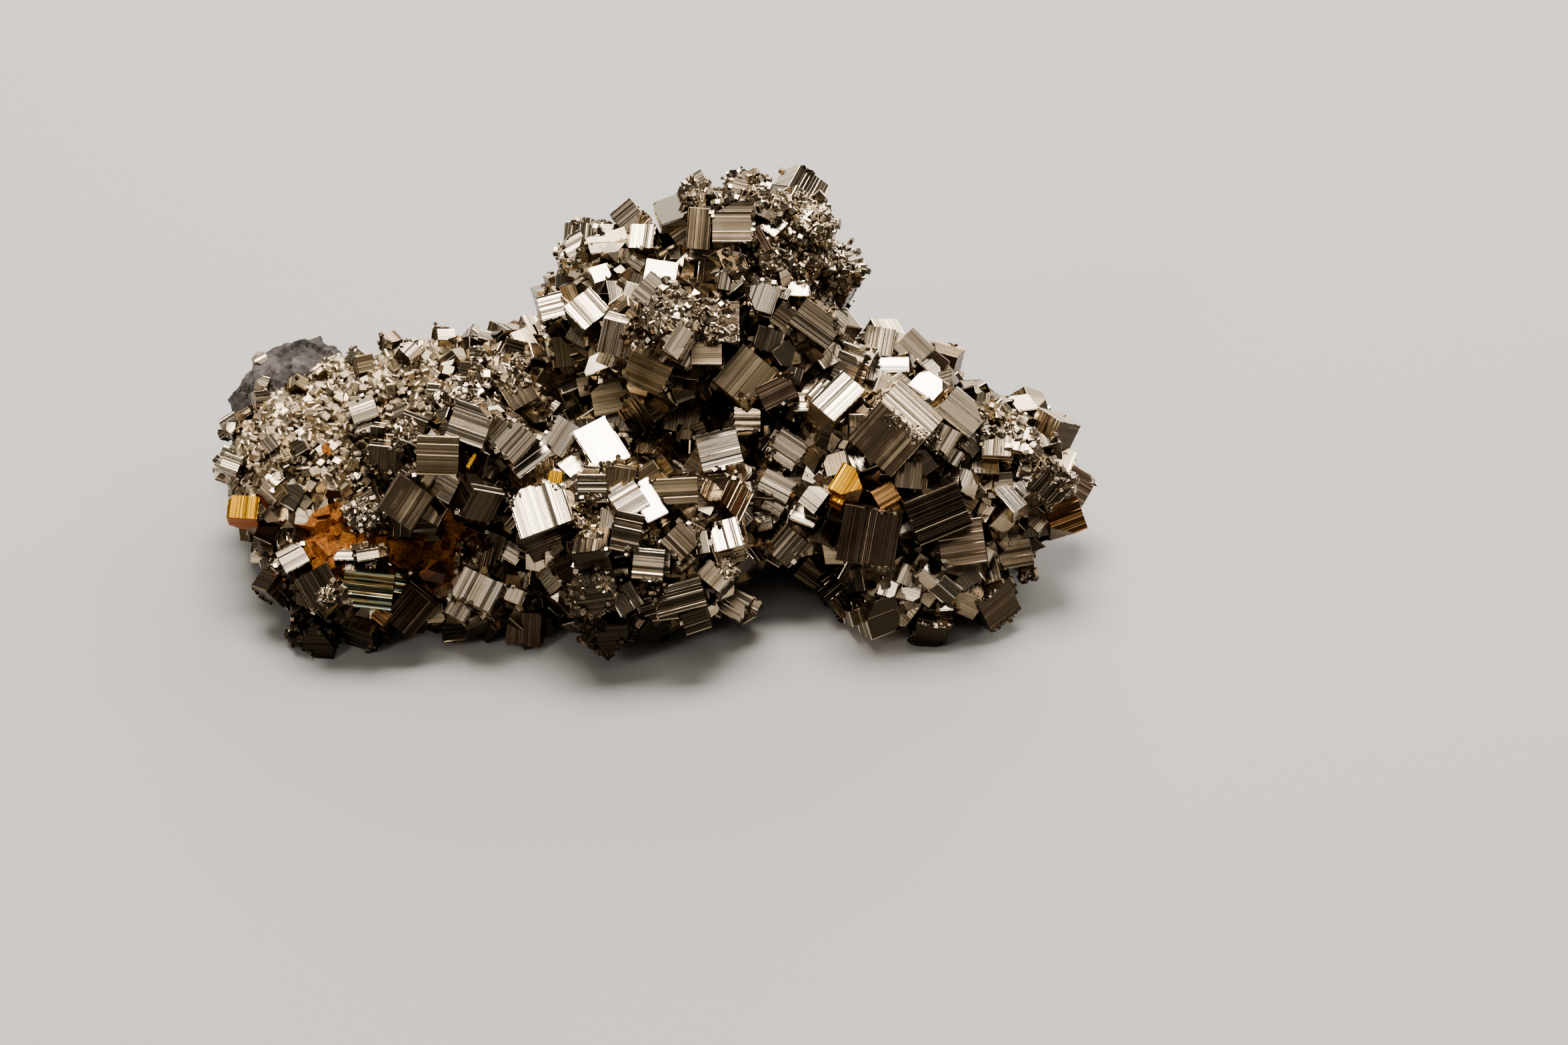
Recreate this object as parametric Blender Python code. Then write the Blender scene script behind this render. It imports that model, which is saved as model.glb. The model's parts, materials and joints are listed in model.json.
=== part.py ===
"""Pyrite specimen: intergrown brassy cubes on a lumpy crust, with some grey host rock at the back left.

The origin is the middle of the footprint on the surface it rests on. +X runs to the right along the
longest side, +Y to the back and +Z up.
"""

import math
import random
from typing import NamedTuple

import bmesh
import bpy
from mathutils import Matrix, Vector, noise

MM = 0.001

# The main sizes of the specimen: its width from edge to edge in the picture, and where it rests
WIDTH_IN_PICTURE = 85 * MM
REST_LEVEL = 0.0

# The middle of the footprint, in the frame in which the lobes below are laid out
FOOTPRINT_MIDDLE = Vector((-0.09, -1.09, 0)) * MM

# Where the specimen was looked at from. Crystals that stand at a known place in that picture are
# set along the sight line through their pixel, where it meets the crust.
PICTURE_MIDDLE = (1176, 784)
PICTURE_LEFT, PICTURE_RIGHT = 312, 1637
PIXELS_PER_METRE = (PICTURE_RIGHT - PICTURE_LEFT) / WIDTH_IN_PICTURE
VIEW_ELEVATION = math.radians(39)
VIEW_DISTANCE = 417 * MM
VIEW_TARGET = Vector((12.9, -10.3, 9.5)) * MM
VIEW_RIGHT = Vector((1, 0, 0))
VIEW_UP = Vector((0, math.sin(VIEW_ELEVATION), math.cos(VIEW_ELEVATION)))
VIEW_BACK = Vector((0, -math.cos(VIEW_ELEVATION), math.sin(VIEW_ELEVATION)))
EYE = VIEW_TARGET + VIEW_BACK * VIEW_DISTANCE


class Lobe(NamedTuple):
    """One swelling of the crust: an ellipsoid in millimetres."""

    centre: tuple
    radii: tuple


class Crystal(NamedTuple):
    """One cube: the pixel of its middle, its edge in millimetres, the slope of the lines on the face
    that looks at the viewer, how far that face leans right and up in degrees, and its form."""

    pixel: tuple
    edge: float
    spin: float
    lean: tuple
    form: str = "cube"


LOBES = {
    "body": Lobe((0, 1, 7.5), (30, 14, 6)),
    "stem": Lobe((4, 9, 14), (10, 7, 9)),
    "saddle": Lobe((-11, 9, 11.5), (7, 7.5, 6)),
    "left_end": Lobe((-33, -1, 8.5), (9, 12, 8)),
    "left_back": Lobe((-31, 6.5, 8), (8, 8.5, 7.2)),
    "left_ridge": Lobe((-20, 2.5, 11.5), (12, 10, 8.5)),
    "left_foot": Lobe((-29, -11, 5), (8, 7, 6)),
    "left_shelf": Lobe((-17, -8, 15), (7, 6, 6)),
    "left_rim": Lobe((-18, -12, 3.5), (9, 6, 4.5)),
    "centre_front": Lobe((-1.5, -12, 7.5), (11.5, 8, 8.5)),
    "summit_left": Lobe((-2.5, 10, 20), (7.5, 8, 8)),
    "summit_right": Lobe((10.6, 9, 25.8), (7.8, 7.6, 8.2)),
    "summit_front": Lobe((2, 2, 22), (6.5, 6, 6.5)),
    "summit_neck": Lobe((14, 2, 20.5), (6, 6, 6.5)),
    "right_body": Lobe((25, -3, 9), (15, 11, 9.5)),
    "right_shoulder": Lobe((22, -5, 14.5), (8, 7, 7)),
    "right_back": Lobe((22, 4, 11.5), (9, 8, 7.5)),
    "right_tip": Lobe((34, -3, 9.5), (7, 8, 7.5)),
    "right_foot": Lobe((26, -10.5, 4.5), (8.5, 6.5, 6)),
    "back_foot": Lobe((6, 12, 5), (13, 7, 6.5)),
}

# How finely a lobe's ball is divided, the radius past which it is a wide one, and how uneven it is
LOBE_DIVISIONS = 2
WIDE_LOBE_DIVISIONS = 3
WIDE_LOBE = 20
UNEVENNESS = 0.05
UNEVEN_PATTERN = 3

# The host rock that shows at the back left: where it is, how far the crust keeps off it, how much
# wider the crystals' share of room round it is, and its broken corners
HOST_ROCK = Lobe((-34, 10.5, 7.6), (9, 7.2, 7.3))
ROCK_GAP = 0.4 * MM
ROCK_MARGIN = 1.1
ROCK_CORNERS = 40
ROCK_SEED = 3

# Crystals that can be told apart in the picture
SUMMIT_CRYSTALS = [
    Crystal((1101, 339), 4.2, 0, (-3, -8)),
    Crystal((1059, 343), 3.6, -60, (-35, -5)),
    Crystal((1047, 292), 3.0, 30, (-15, 20), "blunt"),
    Crystal((1153, 311), 3.0, 60, (0, 15)),
    Crystal((1116, 292), 4.0, -15, (0, 20), "blunt"),
    Crystal((1005, 321), 2.6, 20, (0, 10)),
    Crystal((944, 328), 2.6, 40, (-10, 20)),
    Crystal((967, 364), 2.7, 0, (0, 5)),
    Crystal((992, 418), 3.0, 0, (0, 25)),
    Crystal((862, 384), 3.2, 30, (-10, 15)),
    Crystal((832, 468), 2.8, 15, (-15, 20)),
    Crystal((884, 475), 3.4, -50, (0, 15)),
    Crystal((923, 500), 3.2, 75, (-10, -15)),
    Crystal((1009, 479), 5.0, -40, (0, 0), "blunt"),
    Crystal((1016, 514), 2.8, 50, (10, 5)),
    Crystal((976, 550), 3.8, -20, (-10, -25)),
    Crystal((1060, 532), 3.0, 0, (0, -5)),
    Crystal((1076, 489), 4.0, 0, (5, 10)),
    Crystal((1148, 453), 3.2, 70, (-10, 10)),
    Crystal((1198, 440), 2.2, 80, (0, 10)),
    Crystal((1222, 490), 4.0, -35, (10, 0)),
    Crystal((1178, 479), 2.4, -35, (0, 5)),
    Crystal((1118, 568), 4.9, 50, (0, -10)),
    Crystal((1258, 400), 3.8, 20, (20, 5), "blunt"),
    Crystal((1222, 340), 3.6, -30, (15, 20), "blunt"),
]

MIDDLE_CRYSTALS = [
    Crystal((926, 589), 5.2, 10, (0, -10)),
    Crystal((905, 543), 2.6, 20, (0, 40)),
    Crystal((904, 681), 4.6, -60, (5, 30)),
    Crystal((1082, 685), 4.4, 15, (-10, -5)),
    Crystal((771, 664), 3.4, 45, (0, 0)),
    Crystal((843, 660), 3.2, 55, (-5, 5)),
    Crystal((796, 699), 3.4, 40, (0, 20)),
    Crystal((1011, 739), 3.6, 3, (0, -5)),
    Crystal((929, 721), 3.0, 80, (0, 5)),
    Crystal((975, 717), 2.6, 35, (0, 20)),
    Crystal((1128, 633), 3.0, 0, (-5, 15)),
    Crystal((1207, 605), 2.6, 0, (-10, 10)),
    Crystal((1254, 607), 4.0, 45, (5, 20)),
    Crystal((1167, 590), 3.2, 25, (-5, -5)),
    Crystal((1181, 679), 3.2, -25, (0, 10)),
    Crystal((1165, 734), 3.0, -20, (0, 30)),
]

CENTRE_CRYSTALS = [
    Crystal((820, 779), 5.4, -65, (-10, 15)),
    Crystal((780, 762), 3.4, 35, (-30, 0)),
    Crystal((889, 731), 2.8, 0, (0, -5)),
    Crystal((944, 760), 3.0, 35, (0, 5)),
    Crystal((941, 799), 3.2, -8, (0, -5)),
    Crystal((974, 765), 2.8, -60, (0, 30)),
    Crystal((1091, 813), 3.2, -75, (-5, 25)),
    Crystal((1019, 891), 4.4, 20, (0, -15)),
    Crystal((1021, 816), 2.8, -45, (0, 10)),
    Crystal((973, 850), 3.0, -5, (0, 10)),
    Crystal((1077, 864), 3.0, 50, (0, 15)),
    Crystal((1102, 909), 2.8, -30, (0, 0)),
    Crystal((890, 879), 4.8, 10, (0, -35), "blunt"),
    Crystal((866, 854), 3.4, 25, (0, -15)),
    Crystal((939, 898), 2.6, -60, (0, 5)),
    Crystal((910, 942), 4.6, 5, (0, -40), "blunt"),
    Crystal((791, 937), 3.4, 85, (-10, -15)),
    Crystal((757, 828), 3.0, -25, (0, 10)),
    Crystal((720, 891), 3.6, 60, (-5, 0)),
]

LEFT_CRYSTALS = [
    Crystal((704, 639), 3.8, -20, (0, -5)),
    Crystal((659, 683), 4.2, 0, (0, -5)),
    Crystal((583, 680), 3.4, 85, (-5, -15)),
    Crystal((620, 739), 4.8, 60, (-5, -15)),
    Crystal((554, 772), 3.8, 30, (-10, 0), "blunt"),
    Crystal((594, 776), 3.2, 85, (0, -10)),
    Crystal((635, 787), 3.0, 5, (5, -10)),
    Crystal((713, 839), 3.8, 65, (0, -10)),
    Crystal((554, 876), 4.8, -8, (0, 0)),
    Crystal((561, 846), 3.0, 10, (10, -30)),
    Crystal((617, 909), 4.2, 50, (0, -15)),
    Crystal((482, 883), 3.6, -60, (0, 10)),
    Crystal((443, 844), 2.6, 30, (-10, 20)),
    Crystal((472, 946), 4.4, 0, (-5, -25), "blunt"),
    Crystal((654, 861), 3.0, 30, (0, -15)),
    Crystal((367, 769), 3.0, 85, (0, -5)),
    Crystal((548, 621), 2.6, 20, (-5, 20)),
    Crystal((779, 591), 3.0, -60, (0, 0)),
    Crystal((687, 591), 3.0, 40, (0, 20), "blunt"),
    Crystal((354, 640), 2.8, 30, (-20, 10)),
    Crystal((352, 700), 2.8, -20, (-10, 10)),
]

RIGHT_CRYSTALS = [
    Crystal((1344, 642), 5.6, 50, (-22, -28), "blunt"),
    Crystal((1305, 801), 5.9, 80, (-3, -12)),
    Crystal((1401, 764), 5.2, 20, (8, -12)),
    Crystal((1444, 819), 4.4, 8, (-5, 5)),
    Crystal((1588, 772), 4.4, 25, (10, -10)),
    Crystal((1572, 723), 3.6, 45, (10, -10)),
    Crystal((1496, 672), 2.8, 85, (-5, 10)),
    Crystal((1531, 668), 2.8, 75, (5, 15)),
    Crystal((1440, 627), 4.2, -35, (15, 10)),
    Crystal((1414, 664), 2.8, 60, (-20, 0)),
    Crystal((1392, 588), 3.0, -40, (0, 35), "blunt"),
    Crystal((1333, 557), 2.8, 0, (0, 25)),
    Crystal((1514, 753), 2.6, 60, (0, 20)),
    Crystal((1518, 831), 3.4, 10, (10, -5)),
    Crystal((1274, 731), 3.0, 60, (0, 25)),
    Crystal((1329, 746), 2.6, 30, (0, 0)),
    Crystal((1363, 716), 2.6, 85, (0, 0)),
    Crystal((1370, 527), 3.0, -45, (0, 20)),
    Crystal((1318, 520), 3.0, 80, (0, 10)),
]

# The other crystals: how many, their smallest, usual and largest edge in millimetres, their seed,
# how far apart they stand and keep from those above as shares of their edges, how much they tilt in
# degrees, and how high the lowest stand
FILL_COUNT = 101
FILL_EDGE = (2.6, 3.2, 4.8)
FILL_SEED = 11
FILL_SPACING = 0.62
FILL_CLEARANCE = 0.45
FILL_TILT = 30
FILL_LOWEST = 0.5

# The crust is fine-grained over the left end
FINE_LOBES = ("left_end", "left_back", "left_ridge")
FINE_SHARE = 0.62

# How far a cube stands out of the crust, and how much of a blunt one's corners is cut off
PROUD_SHARE = 0.16
BLUNT_SHARE = 0.2

PYRITE_COLOUR = (0.56, 0.49, 0.36, 1)
ROCK_COLOUR = (0.19, 0.18, 0.19, 1)


def material(name, colour, roughness, metallic):
    made = bpy.data.materials.new(name)
    made.use_nodes = True
    shader = made.node_tree.nodes["Principled BSDF"]
    shader.inputs["Base Color"].default_value = colour
    shader.inputs["Roughness"].default_value = roughness
    shader.inputs["Metallic"].default_value = metallic
    return made


def new_object(name, mesh, collection):
    made = bpy.data.objects.new(name, mesh)
    collection.objects.link(made)
    return made


def mesh_from(bm, name):
    mesh = bpy.data.meshes.new(name)
    bm.to_mesh(mesh)
    bm.free()
    return mesh


def sight_line(pixel):
    """The direction in which the viewer sees a pixel."""
    across = (pixel[0] - PICTURE_MIDDLE[0]) / PIXELS_PER_METRE
    up = (PICTURE_MIDDLE[1] - pixel[1]) / PIXELS_PER_METRE
    return (VIEW_TARGET + VIEW_RIGHT * across + VIEW_UP * up - EYE).normalized()


def divided(vector, radii):
    return Vector((vector.x / radii.x, vector.y / radii.y, vector.z / radii.z))


def crust_point(direction):
    """Where a sight line first meets the crust. One that passes beside it gets its nearest point."""
    first, nearest = None, None
    for lobe in LOBES.values():
        centre, radii = Vector(lobe.centre) * MM, Vector(lobe.radii) * MM
        start, step = divided(EYE - centre, radii), divided(direction, radii)
        square, half, rest = step.dot(step), start.dot(step), start.dot(start) - 1
        under_root = half * half - square * rest
        if under_root >= 0:
            travel = (-half - math.sqrt(under_root)) / square
            first = travel if first is None else min(first, travel)
        travel = -half / square
        miss = (start + step * travel).length
        if nearest is None or miss < nearest[0]:
            nearest = (miss, travel)
    return EYE + direction * (nearest[1] if first is None else first)


def facing(spin, lean):
    """The turn of a cube whose nearest face leans away from the viewer, its lines at a slope of spin."""
    picture = Matrix((VIEW_RIGHT, VIEW_UP, VIEW_BACK)).transposed()
    turn = Matrix.Rotation(math.radians(spin), 3, "Z")
    tilt = Matrix.Identity(3)
    if any(lean):
        axis = Vector((-lean[1], lean[0], 0))
        tilt = Matrix.Rotation(math.radians(axis.length), 3, axis.normalized())
    return picture @ tilt @ turn


def sighted(crystal):
    """(middle, turn, edge, form) of a crystal that the picture shows."""
    edge = crystal.edge * MM
    direction = sight_line(crystal.pixel)
    middle = crust_point(direction) - direction * edge * PROUD_SHARE
    return middle, facing(crystal.spin, crystal.lean), edge, crystal.form


def inside_crust(point, but):
    for name, lobe in LOBES.items():
        if name != but and divided(point - Vector(lobe.centre) * MM, Vector(lobe.radii) * MM).length < 1:
            return True
    return False


def seen_at(point):
    """How far across and up the picture a point lies."""
    return Vector(((point - VIEW_TARGET).dot(VIEW_RIGHT), (point - VIEW_TARGET).dot(VIEW_UP)))


def in_rock(point):
    return divided(point - Vector(HOST_ROCK.centre) * MM, Vector(HOST_ROCK.radii) * MM).length < ROCK_MARGIN


def scattered(standing):
    """(middle, turn, edge, form) of the other crystals, clear of those already standing."""
    rng = random.Random(FILL_SEED)
    names = list(LOBES)
    areas = [math.prod(LOBES[name].radii) ** (2 / 3) for name in names]
    found = []
    taken = [(middle, edge) for middle, _, edge, _ in standing]
    shown = [(seen_at(middle), edge) for middle, edge in taken]
    while len(found) < FILL_COUNT:
        name = rng.choices(names, areas)[0]
        way = Vector([rng.gauss(0, 1) for _ in range(3)]).normalized()
        radii = Vector(LOBES[name].radii) * MM
        point = Vector(LOBES[name].centre) * MM + way * radii
        smallest, usual, largest = FILL_EDGE
        edge = rng.triangular(smallest, largest, usual) * MM
        if name in FINE_LOBES:
            edge *= FINE_SHARE
        spins = [rng.gauss(0, FILL_TILT) for _ in range(2)] + [rng.uniform(0, 90)]
        if point.z < edge * FILL_LOWEST or in_rock(point) or inside_crust(point, name):
            continue
        if any((point - other).length < FILL_SPACING * (edge + size) for other, size in taken):
            continue
        outward = divided(way, radii).normalized()
        place = seen_at(point)
        if outward.dot(VIEW_BACK) > 0 and any(
            (place - other).length < FILL_CLEARANCE * (edge + size) for other, size in shown
        ):
            continue
        turn = outward.to_track_quat("Z", "Y").to_matrix()
        for spin, axis in zip(spins, "XYZ"):
            turn = turn @ Matrix.Rotation(math.radians(spin), 3, axis)
        found.append((point, turn, edge, "cube"))
        taken.append((point, edge))
    return found


def lobe_mesh(name, lobe):
    """A low ellipsoid with an uneven surface."""
    bm = bmesh.new()
    divisions = WIDE_LOBE_DIVISIONS if max(lobe.radii) > WIDE_LOBE else LOBE_DIVISIONS
    bmesh.ops.create_icosphere(bm, subdivisions=divisions, radius=1)
    for vertex in bm.verts:
        swell = 1 + UNEVENNESS * noise.noise(vertex.co * UNEVEN_PATTERN + Vector(lobe.centre))
        vertex.co = (Vector(lobe.centre) + vertex.co * swell * Vector(lobe.radii)) * MM
    return mesh_from(bm, name)


def crystal_mesh(name, middle, turn, edge, form):
    bm = bmesh.new()
    bmesh.ops.create_cube(bm, size=edge)
    if form == "blunt":
        corners = list(bm.verts)
        bmesh.ops.bevel(bm, geom=corners, offset=edge * BLUNT_SHARE, segments=1, affect="VERTICES")
    bmesh.ops.transform(bm, matrix=Matrix.Translation(middle) @ turn.to_4x4(), verts=bm.verts)
    return mesh_from(bm, name)


def rock_mesh(name, grown):
    """The host rock as a lump with broken flats, grown by a distance all over."""
    rng = random.Random(ROCK_SEED)
    bm = bmesh.new()
    for _ in range(ROCK_CORNERS):
        way = Vector([rng.gauss(0, 1) for _ in range(3)]).normalized()
        corner = way * Vector(HOST_ROCK.radii) * MM
        bm.verts.new(corner + way * grown + Vector(HOST_ROCK.centre) * MM)
    hull = bmesh.ops.convex_hull(bm, input=bm.verts)
    inner = [part for part in hull["geom_interior"] if isinstance(part, bmesh.types.BMVert)]
    bmesh.ops.delete(bm, geom=inner, context="VERTS")
    bmesh.ops.recalc_face_normals(bm, faces=bm.faces)
    return mesh_from(bm, name)


def below_the_table(collection):
    """A block under the rest level, which takes off what would stand below it."""
    bm = bmesh.new()
    bmesh.ops.create_cube(bm, size=1)
    size = Vector((2, 2, 1)) * WIDTH_IN_PICTURE
    bmesh.ops.scale(bm, vec=size, verts=bm.verts)
    bmesh.ops.translate(bm, vec=(0, 0, REST_LEVEL - size.z / 2), verts=bm.verts)
    return new_object("below_the_table", mesh_from(bm, "below_the_table"), collection)


def boolean(target, operation, other):
    """A Boolean with another object, or a union with all in a collection."""
    modifier = target.modifiers.new(operation.title(), "BOOLEAN")
    modifier.operation = operation
    if isinstance(other, bpy.types.Collection):
        modifier.operand_type = "COLLECTION"
        modifier.collection = other
    else:
        modifier.object = other


def finish(obj):
    """Applies the modifiers and drops loose chips that the cuts leave beside the main solid."""
    graph = bpy.context.evaluated_depsgraph_get()
    mesh = bpy.data.meshes.new_from_object(obj.evaluated_get(graph))
    obj.modifiers.clear()
    obj.data = mesh
    bm = bmesh.new()
    bm.from_mesh(mesh)
    left, pieces = set(bm.verts), []
    while left:
        piece, reached = set(), [left.pop()]
        while reached:
            vertex = reached.pop()
            piece.add(vertex)
            for edge in vertex.link_edges:
                other = edge.other_vert(vertex)
                if other in left:
                    left.remove(other)
                    reached.append(other)
        pieces.append(piece)
    largest = max(pieces, key=len)
    chips = [vertex for piece in pieces if piece is not largest for vertex in piece]
    bmesh.ops.delete(bm, geom=chips, context="VERTS")
    bm.to_mesh(mesh)
    bm.free()


def hide_helpers(collection):
    for obj in collection.objects:
        obj.hide_render = True
        obj.display_type = "WIRE"


def build():
    for obj in list(bpy.data.objects):
        bpy.data.objects.remove(obj)
    scene_collection = bpy.context.scene.collection
    specimen = bpy.data.collections.new("pyrite_specimen")
    cutters = bpy.data.collections.new("cutters")
    growths = bpy.data.collections.new("growths")
    for collection in (specimen, cutters, growths):
        scene_collection.children.link(collection)

    table_block = below_the_table(cutters)
    rock_socket = new_object("rock_socket", rock_mesh("rock_socket", ROCK_GAP), cutters)

    crystals = [sighted(c) for c in SUMMIT_CRYSTALS + MIDDLE_CRYSTALS + CENTRE_CRYSTALS]
    crystals += [sighted(c) for c in LEFT_CRYSTALS + RIGHT_CRYSTALS]
    crystals += scattered(crystals)
    for number, crystal in enumerate(crystals):
        name = f"crystal_{number:03d}"
        new_object(name, crystal_mesh(name, *crystal), growths)
    for name, lobe in LOBES.items():
        if name != "body":
            new_object(name, lobe_mesh(name, lobe), growths)

    cluster = new_object("pyrite_cluster", lobe_mesh("pyrite_cluster", LOBES["body"]), specimen)
    boolean(cluster, "UNION", growths)
    boolean(cluster, "DIFFERENCE", table_block)
    boolean(cluster, "DIFFERENCE", rock_socket)

    host_rock = new_object("host_rock", rock_mesh("host_rock", 0), specimen)

    hide_helpers(cutters)
    hide_helpers(growths)
    bpy.context.view_layer.update()
    finish(cluster)
    for obj in (cluster, host_rock):
        obj.data.transform(Matrix.Translation(-FOOTPRINT_MIDDLE))
    cluster.data.materials.clear()
    cluster.data.materials.append(material("pyrite", PYRITE_COLOUR, 0.25, 1.0))
    host_rock.data.materials.append(material("host_rock", ROCK_COLOUR, 0.85, 0.0))


build()
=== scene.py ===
import json
import math
import random
from itertools import product
from typing import NamedTuple

import bmesh
import bpy
from mathutils import Euler, Matrix, Vector, noise
from mathutils.bvhtree import BVHTree

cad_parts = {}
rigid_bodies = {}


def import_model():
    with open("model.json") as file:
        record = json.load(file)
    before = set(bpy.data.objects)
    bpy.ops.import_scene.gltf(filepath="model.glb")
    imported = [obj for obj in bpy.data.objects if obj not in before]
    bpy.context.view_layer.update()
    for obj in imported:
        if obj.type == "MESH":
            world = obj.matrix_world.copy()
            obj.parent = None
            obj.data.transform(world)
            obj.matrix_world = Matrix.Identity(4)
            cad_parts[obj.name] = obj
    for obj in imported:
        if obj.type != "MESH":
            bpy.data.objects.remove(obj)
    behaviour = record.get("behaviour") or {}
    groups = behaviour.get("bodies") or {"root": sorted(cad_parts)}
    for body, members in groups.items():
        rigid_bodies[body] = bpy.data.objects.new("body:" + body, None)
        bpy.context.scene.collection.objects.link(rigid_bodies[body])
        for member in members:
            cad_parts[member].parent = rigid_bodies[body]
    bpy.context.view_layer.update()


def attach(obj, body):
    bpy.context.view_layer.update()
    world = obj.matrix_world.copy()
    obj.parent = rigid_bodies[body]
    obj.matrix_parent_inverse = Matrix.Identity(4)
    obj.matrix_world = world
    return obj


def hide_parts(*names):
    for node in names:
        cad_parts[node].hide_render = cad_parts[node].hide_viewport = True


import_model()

mm = 0.001

# Where the specimen was looked at from. The layout below has its own middle, which lies
# footprintMiddle away from the frame's origin, so every finished piece is shifted by it.
pictureWidth, pictureHeight = 2352, 1568
pictureLeft, pictureRight = 312, 1637     # the specimen's two ends in the picture
widthInPicture = 85 * mm
pixelsPerMetre = (pictureRight - pictureLeft) / widthInPicture
viewElevation = math.radians(39)
viewDistance = 417 * mm
viewTarget = Vector((12.9, -10.3, 9.5)) * mm
viewRight = Vector((1, 0, 0))
viewUp = Vector((0, math.sin(viewElevation), math.cos(viewElevation)))
viewBack = Vector((0, -math.cos(viewElevation), math.sin(viewElevation)))
eye = viewTarget + viewBack * viewDistance
footprintMiddle = Vector((-0.09, -1.09, 0)) * mm


class Lobe(NamedTuple):       # one swelling of the crust, in millimetres
    centre: tuple
    radii: tuple


class Crystal(NamedTuple):    # one cube that can be told apart in the picture
    pixel: tuple              # where its middle is
    edge: float               # in millimetres
    spin: float               # slope of the growth lines on the face that looks at the viewer
    lean: tuple               # how far that face leans right and up, in degrees
    form: str = "cube"        # or single, without smaller ones on it, or blunt, with its corners gone
    finish: str = "striated"
    shape: tuple = (1, 1, 1)  # along the lines, across them, and in depth


lobes = {
    "body": Lobe((0, 1, 7.5), (30, 14, 6)),
    "stem": Lobe((4, 9, 14), (10, 7, 9)),
    "saddle": Lobe((-11, 9, 11.5), (7, 7.5, 6)),
    "leftEnd": Lobe((-33, -1, 8.5), (9, 12, 8)),
    "leftBack": Lobe((-31, 6.5, 8), (8, 8.5, 7.2)),
    "leftRidge": Lobe((-20, 2.5, 11.5), (12, 10, 8.5)),
    "leftFoot": Lobe((-29, -11, 5), (8, 7, 6)),
    "leftShelf": Lobe((-17, -8, 15), (7, 6, 6)),
    "leftRim": Lobe((-18, -12, 3.5), (9, 6, 4.5)),
    "centreFront": Lobe((-1.5, -12, 7.5), (11.5, 8, 8.5)),
    "summitLeft": Lobe((-2.5, 10, 20), (7.5, 8, 8)),
    "summitRight": Lobe((10.6, 9, 25.8), (7.8, 7.6, 8.2)),
    "summitFront": Lobe((2, 2, 22), (6.5, 6, 6.5)),
    "summitNeck": Lobe((14, 2, 20.5), (6, 6, 6.5)),
    "rightBody": Lobe((25, -3, 9), (15, 11, 9.5)),
    "rightShoulder": Lobe((22, -5, 14.5), (8, 7, 7)),
    "rightBack": Lobe((22, 4, 11.5), (9, 8, 7.5)),
    "rightTip": Lobe((34, -3, 9.5), (7, 8, 7.5)),
    "rightFoot": Lobe((26, -10.5, 4.5), (8.5, 6.5, 6)),
    "backFoot": Lobe((6, 12, 5), (13, 7, 6.5)),
}
hostRock = Lobe((-34, 10.5, 7.6), (9, 7.2, 7.3))

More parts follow.
